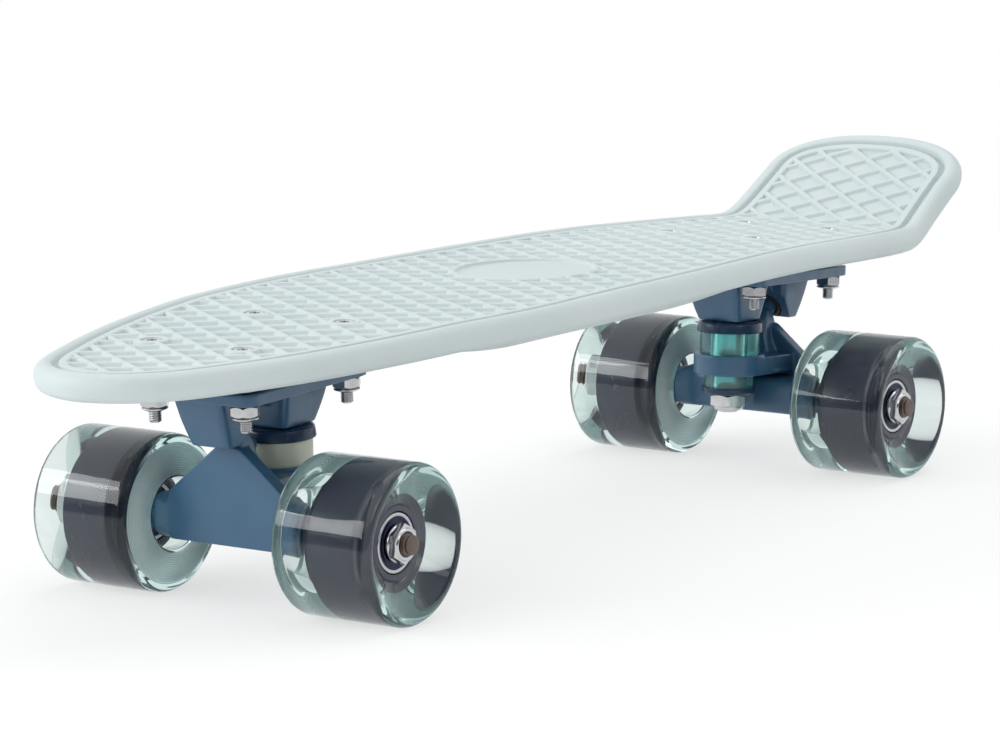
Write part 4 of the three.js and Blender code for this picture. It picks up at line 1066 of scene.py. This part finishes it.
for truck, (x, turn) in TRUCKS.items():
    m = truck_matrix(truck)
    k = m @ KINGPIN
    cup = m @ ON_STEER
    add_all(truck, (
        ("base_casting", BASEPLATE, TRUCK, "baseplate", "truck_paint", m),
        ("hanger_casting", HANGER, TRUCK, "hanger", "truck_paint", m),
        ("king_bolt", KING, STEEL, "kingpin", "bright_steel", k),
        ("king_nut", KING_NUT, STEEL, "kingpin_nut", "bright_steel", k),
        ("pivot_seat", PIVOT_CUP, CUP, "pivot_cup", "pivot_cup_urethane", cup),
        ("upper_cup", UPPER_CUP, SHADED_WASHER_PAINT, "upper_washer", "truck_paint", k),
        ("lower_cup", LOWER_CUP, SHADED_WASHER_PAINT, "lower_washer", "truck_paint", k),
        ("axle_rod", AXLE, STEEL, "axle", "bright_steel", m),
    ))
    for which, (radius, low, high) in SPANS.items():
        o = add(
            f"{truck}_{which}_urethane", bushing_mesh(f"{truck}_{which}_form", radius, low, high),
            BUSHINGS[truck], f"{truck}_{which}_bushing", k, ride=False,
        )
        if which == "upper":
            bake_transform(o)
        else:
            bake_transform(o)
    for bx, by in BOLTS:
        row = "inner" if bx < 0 else "outer"
        side = "left" if (by > 0) == (turn == 0) else "right"
        place = m @ Matrix.Translation((bx, by, 0))
        spot = f"{truck}_{row}_{side}"
        add(f"{spot}_screw", BOLT, STEEL, f"{spot}_bolt", place)
        add(f"{spot}_locknut", NUT, STEEL, f"{spot}_nut", place)
    for sense in (1, -1):
        name = f"{truck}_left" if sense > 0 else f"{truck}_right"
        wheel = Matrix.Translation((x, sense * WHEEL_Y, AXLE_Z))
        if sense < 0:
            wheel = wheel @ TURNED
        outward = wheel @ Matrix.Translation((0, BEARING_Y, 0))
        inward = wheel @ TURNED @ Matrix.Translation((0, BEARING_Y, 0))
        nut = wheel @ Matrix.Translation((0, AXLE_NUT_Y, 0))
        add_all(name, (
            ("tread", TYRE, WHEEL, "tyre", "wheel_urethane", wheel),
            ("hub", WHEEL_CORE, CORE, "core", "core_plastic", wheel),
            ("outer_race", BEARING, SHIELD, "outboard_bearing", "bearing_shield", outward),
            ("inner_race", BEARING, SHIELD, "inboard_bearing", "bearing_shield", inward),
            ("flange_nut", AXLE_NUT, STEEL, "axle_nut", "bright_steel", nut),
        ))


# Camera, floor and light

def make_camera():
    """The photo's camera as fitted, its place in millimetres and its angles in degrees."""
    place = Vector((1428.04, 988.69, 337.15)) * MM
    yaw, pitch, roll = (math.radians(a) for a in (-144.889, -9.003, -0.321))
    ahead = Vector((math.cos(pitch) * math.cos(yaw), math.cos(pitch) * math.sin(yaw), math.sin(pitch)))
    right = ahead.cross(Vector((0, 0, 1))).normalized()
    up = right.cross(ahead)
    c, s = math.cos(roll), math.sin(roll)
    right, up = right * c + up * s, up * c - right * s
    data = bpy.data.cameras.new("camera")
    data.sensor_fit, data.sensor_width, data.lens = "HORIZONTAL", 36, 160.71
    data.clip_start, data.clip_end = 0.05, 50
    cam = bpy.data.objects.new("camera", data)
    cam.matrix_world = Matrix.Translation(place) @ Matrix((right, up, -ahead)).transposed().to_4x4()
    bpy.context.scene.collection.objects.link(cam)
    bpy.context.scene.camera = cam


def seen_mask(tree):
    """One where the camera, a reflection or a clear piece looks at the backdrop."""
    link = tree.links.new
    path = new_node(tree, "ShaderNodeLightPath")
    first = new_node(tree, "ShaderNodeMath", operation="ADD")
    second = new_node(tree, "ShaderNodeMath", operation="ADD", use_clamp=True)
    link(path.outputs["Is Camera Ray"], first.inputs[0])
    link(path.outputs["Is Glossy Ray"], first.inputs[1])
    link(first.outputs[0], second.inputs[0])
    link(path.outputs["Is Transmission Ray"], second.inputs[1])
    return second.outputs[0]


def room_mask(tree):
    """Reflections see the unlit room in front of the backdrop, below the ceiling light."""
    link = tree.links.new

    def window(source, a, b):
        n = new_node(tree, "ShaderNodeMapRange", interpolation_type="SMOOTHSTEP")
        n.inputs["From Min"].default_value, n.inputs["From Max"].default_value = a, b
        link(source, n.inputs["Value"])
        return n.outputs["Result"]

    def times(a, b):
        n = new_node(tree, "ShaderNodeMath", operation="MULTIPLY")
        link(a, n.inputs[0])
        link(b, n.inputs[1])
        return n.outputs[0]

    way = new_node(tree, "ShaderNodeTexCoord").outputs["Generated"]
    front = new_node(tree, "ShaderNodeVectorMath", operation="DOT_PRODUCT")
    front.inputs[1].default_value = (0.82, 0.57, 0)
    link(way, front.inputs[0])
    split = new_node(tree, "ShaderNodeSeparateXYZ")
    link(way, split.inputs[0])
    path = new_node(tree, "ShaderNodeLightPath")
    facing = window(front.outputs["Value"], -0.1, 0.2)
    low = window(split.outputs["Z"], 0.55, 0.3)
    return times(times(facing, low), path.outputs["Is Glossy Ray"])


def make_floor(size=12):
    """White paper that keeps the shadow, lifted where it is seen and fading into the backdrop."""
    mesh = bpy.data.meshes.new("floor")
    corners = [(-size, -size, 0), (size, -size, 0), (size, size, 0), (-size, size, 0)]
    mesh.from_pydata(corners, [], [(0, 1, 2, 3)])
    floor = bpy.data.objects.new("floor", mesh)
    floor.location.z = -0.0001
    bpy.context.scene.collection.objects.link(floor)
    m = Mat("floor_paper", Roughness=0.9, Specular_IOR_Level=0.1)
    paper = (0.94, 0.94, 0.935, 1), (0.95, 0.95, 0.945, 1)
    m.colour(m.ramp(m.noise(3, 2), list(zip((NOISE_LOW, NOISE_HIGH), paper))))
    away = m.node("ShaderNodeVectorMath", operation="LENGTH")
    m.link(m.coords, away.inputs[0])
    fade = m.spread(away.outputs["Value"], 0.0, 1.0, 0.45, 1.3)
    clear = m.node("ShaderNodeBsdfTransparent")
    white = m.node("ShaderNodeEmission", Color=(1, 1, 1, 1), Strength=1.0)
    mix, lift = m.node("ShaderNodeMixShader"), m.node("ShaderNodeMixShader")
    m.link(m.spread(seen_mask(m.tree), 0.0, 0.62, 0.0, 1.0), lift.inputs[0])
    m.link(m.bsdf.outputs[0], lift.inputs[1])
    m.link(white.outputs[0], lift.inputs[2])
    m.link(fade, mix.inputs[0])
    m.link(lift.outputs[0], mix.inputs[1])
    m.link(clear.outputs[0], mix.inputs[2])
    m.link(mix.outputs[0], m.tree.nodes["Material Output"].inputs["Surface"])
    mesh.materials.append(m.material)


def make_world():
    """A soft sky for the light, white where it is seen, and darker in reflections of the room."""
    world = bpy.data.worlds.new("studio")
    bpy.context.scene.world = world
    world.use_nodes = True
    tree = world.node_tree
    tree.nodes.clear()
    link = tree.links.new
    soft = new_node(tree, "ShaderNodeBackground", Color=(0.97, 0.99, 1, 1), Strength=0.7)
    white = new_node(tree, "ShaderNodeBackground", Color=(1, 1, 1, 1), Strength=1.0)
    room = new_node(tree, "ShaderNodeBackground", Color=(0.9, 0.95, 1, 1), Strength=0.16)
    mix, turned = (new_node(tree, "ShaderNodeMixShader") for _ in range(2))
    out = new_node(tree, "ShaderNodeOutputWorld")
    link(room_mask(tree), turned.inputs[0])
    link(white.outputs[0], turned.inputs[1])
    link(room.outputs[0], turned.inputs[2])
    link(seen_mask(tree), mix.inputs[0])
    link(soft.outputs[0], mix.inputs[1])
    link(turned.outputs[0], mix.inputs[2])
    link(mix.outputs[0], out.inputs["Surface"])


def lamp(name, place, aim, size, watts, size_y=None):
    data = bpy.data.lights.new(name, "AREA")
    data.shape, data.size, data.size_y, data.energy = "RECTANGLE", size, size_y or size, watts
    o = bpy.data.objects.new(name, data)
    o.location = place
    o.rotation_mode = "QUATERNION"
    o.rotation_quaternion = (Vector(aim) - Vector(place)).to_track_quat("-Z", "Y")
    bpy.context.scene.collection.objects.link(o)


make_camera()
make_floor()
make_world()
# Soft boxes: one above the board, a fill at its side, and two that draw the wheels' streaks.
lamp("top_box", (-0.8, 0.15, 2.1), (0, 0, 0), 2.0, 16)
lamp("strip_box", (1.8, -1.35, 0.88), (0, 0, 0.05), 2.2, 26, 0.75)
lamp("side_box", (0.6, 2.2, 1.3), (0, 0, 0.05), 1.0, 5)
lamp("tall_box", (1.42, -1.86, 1.42), (0, 0, 0.05), 1.2, 8, 0.45)

scene = bpy.context.scene
scene.view_settings.view_transform = "Standard"
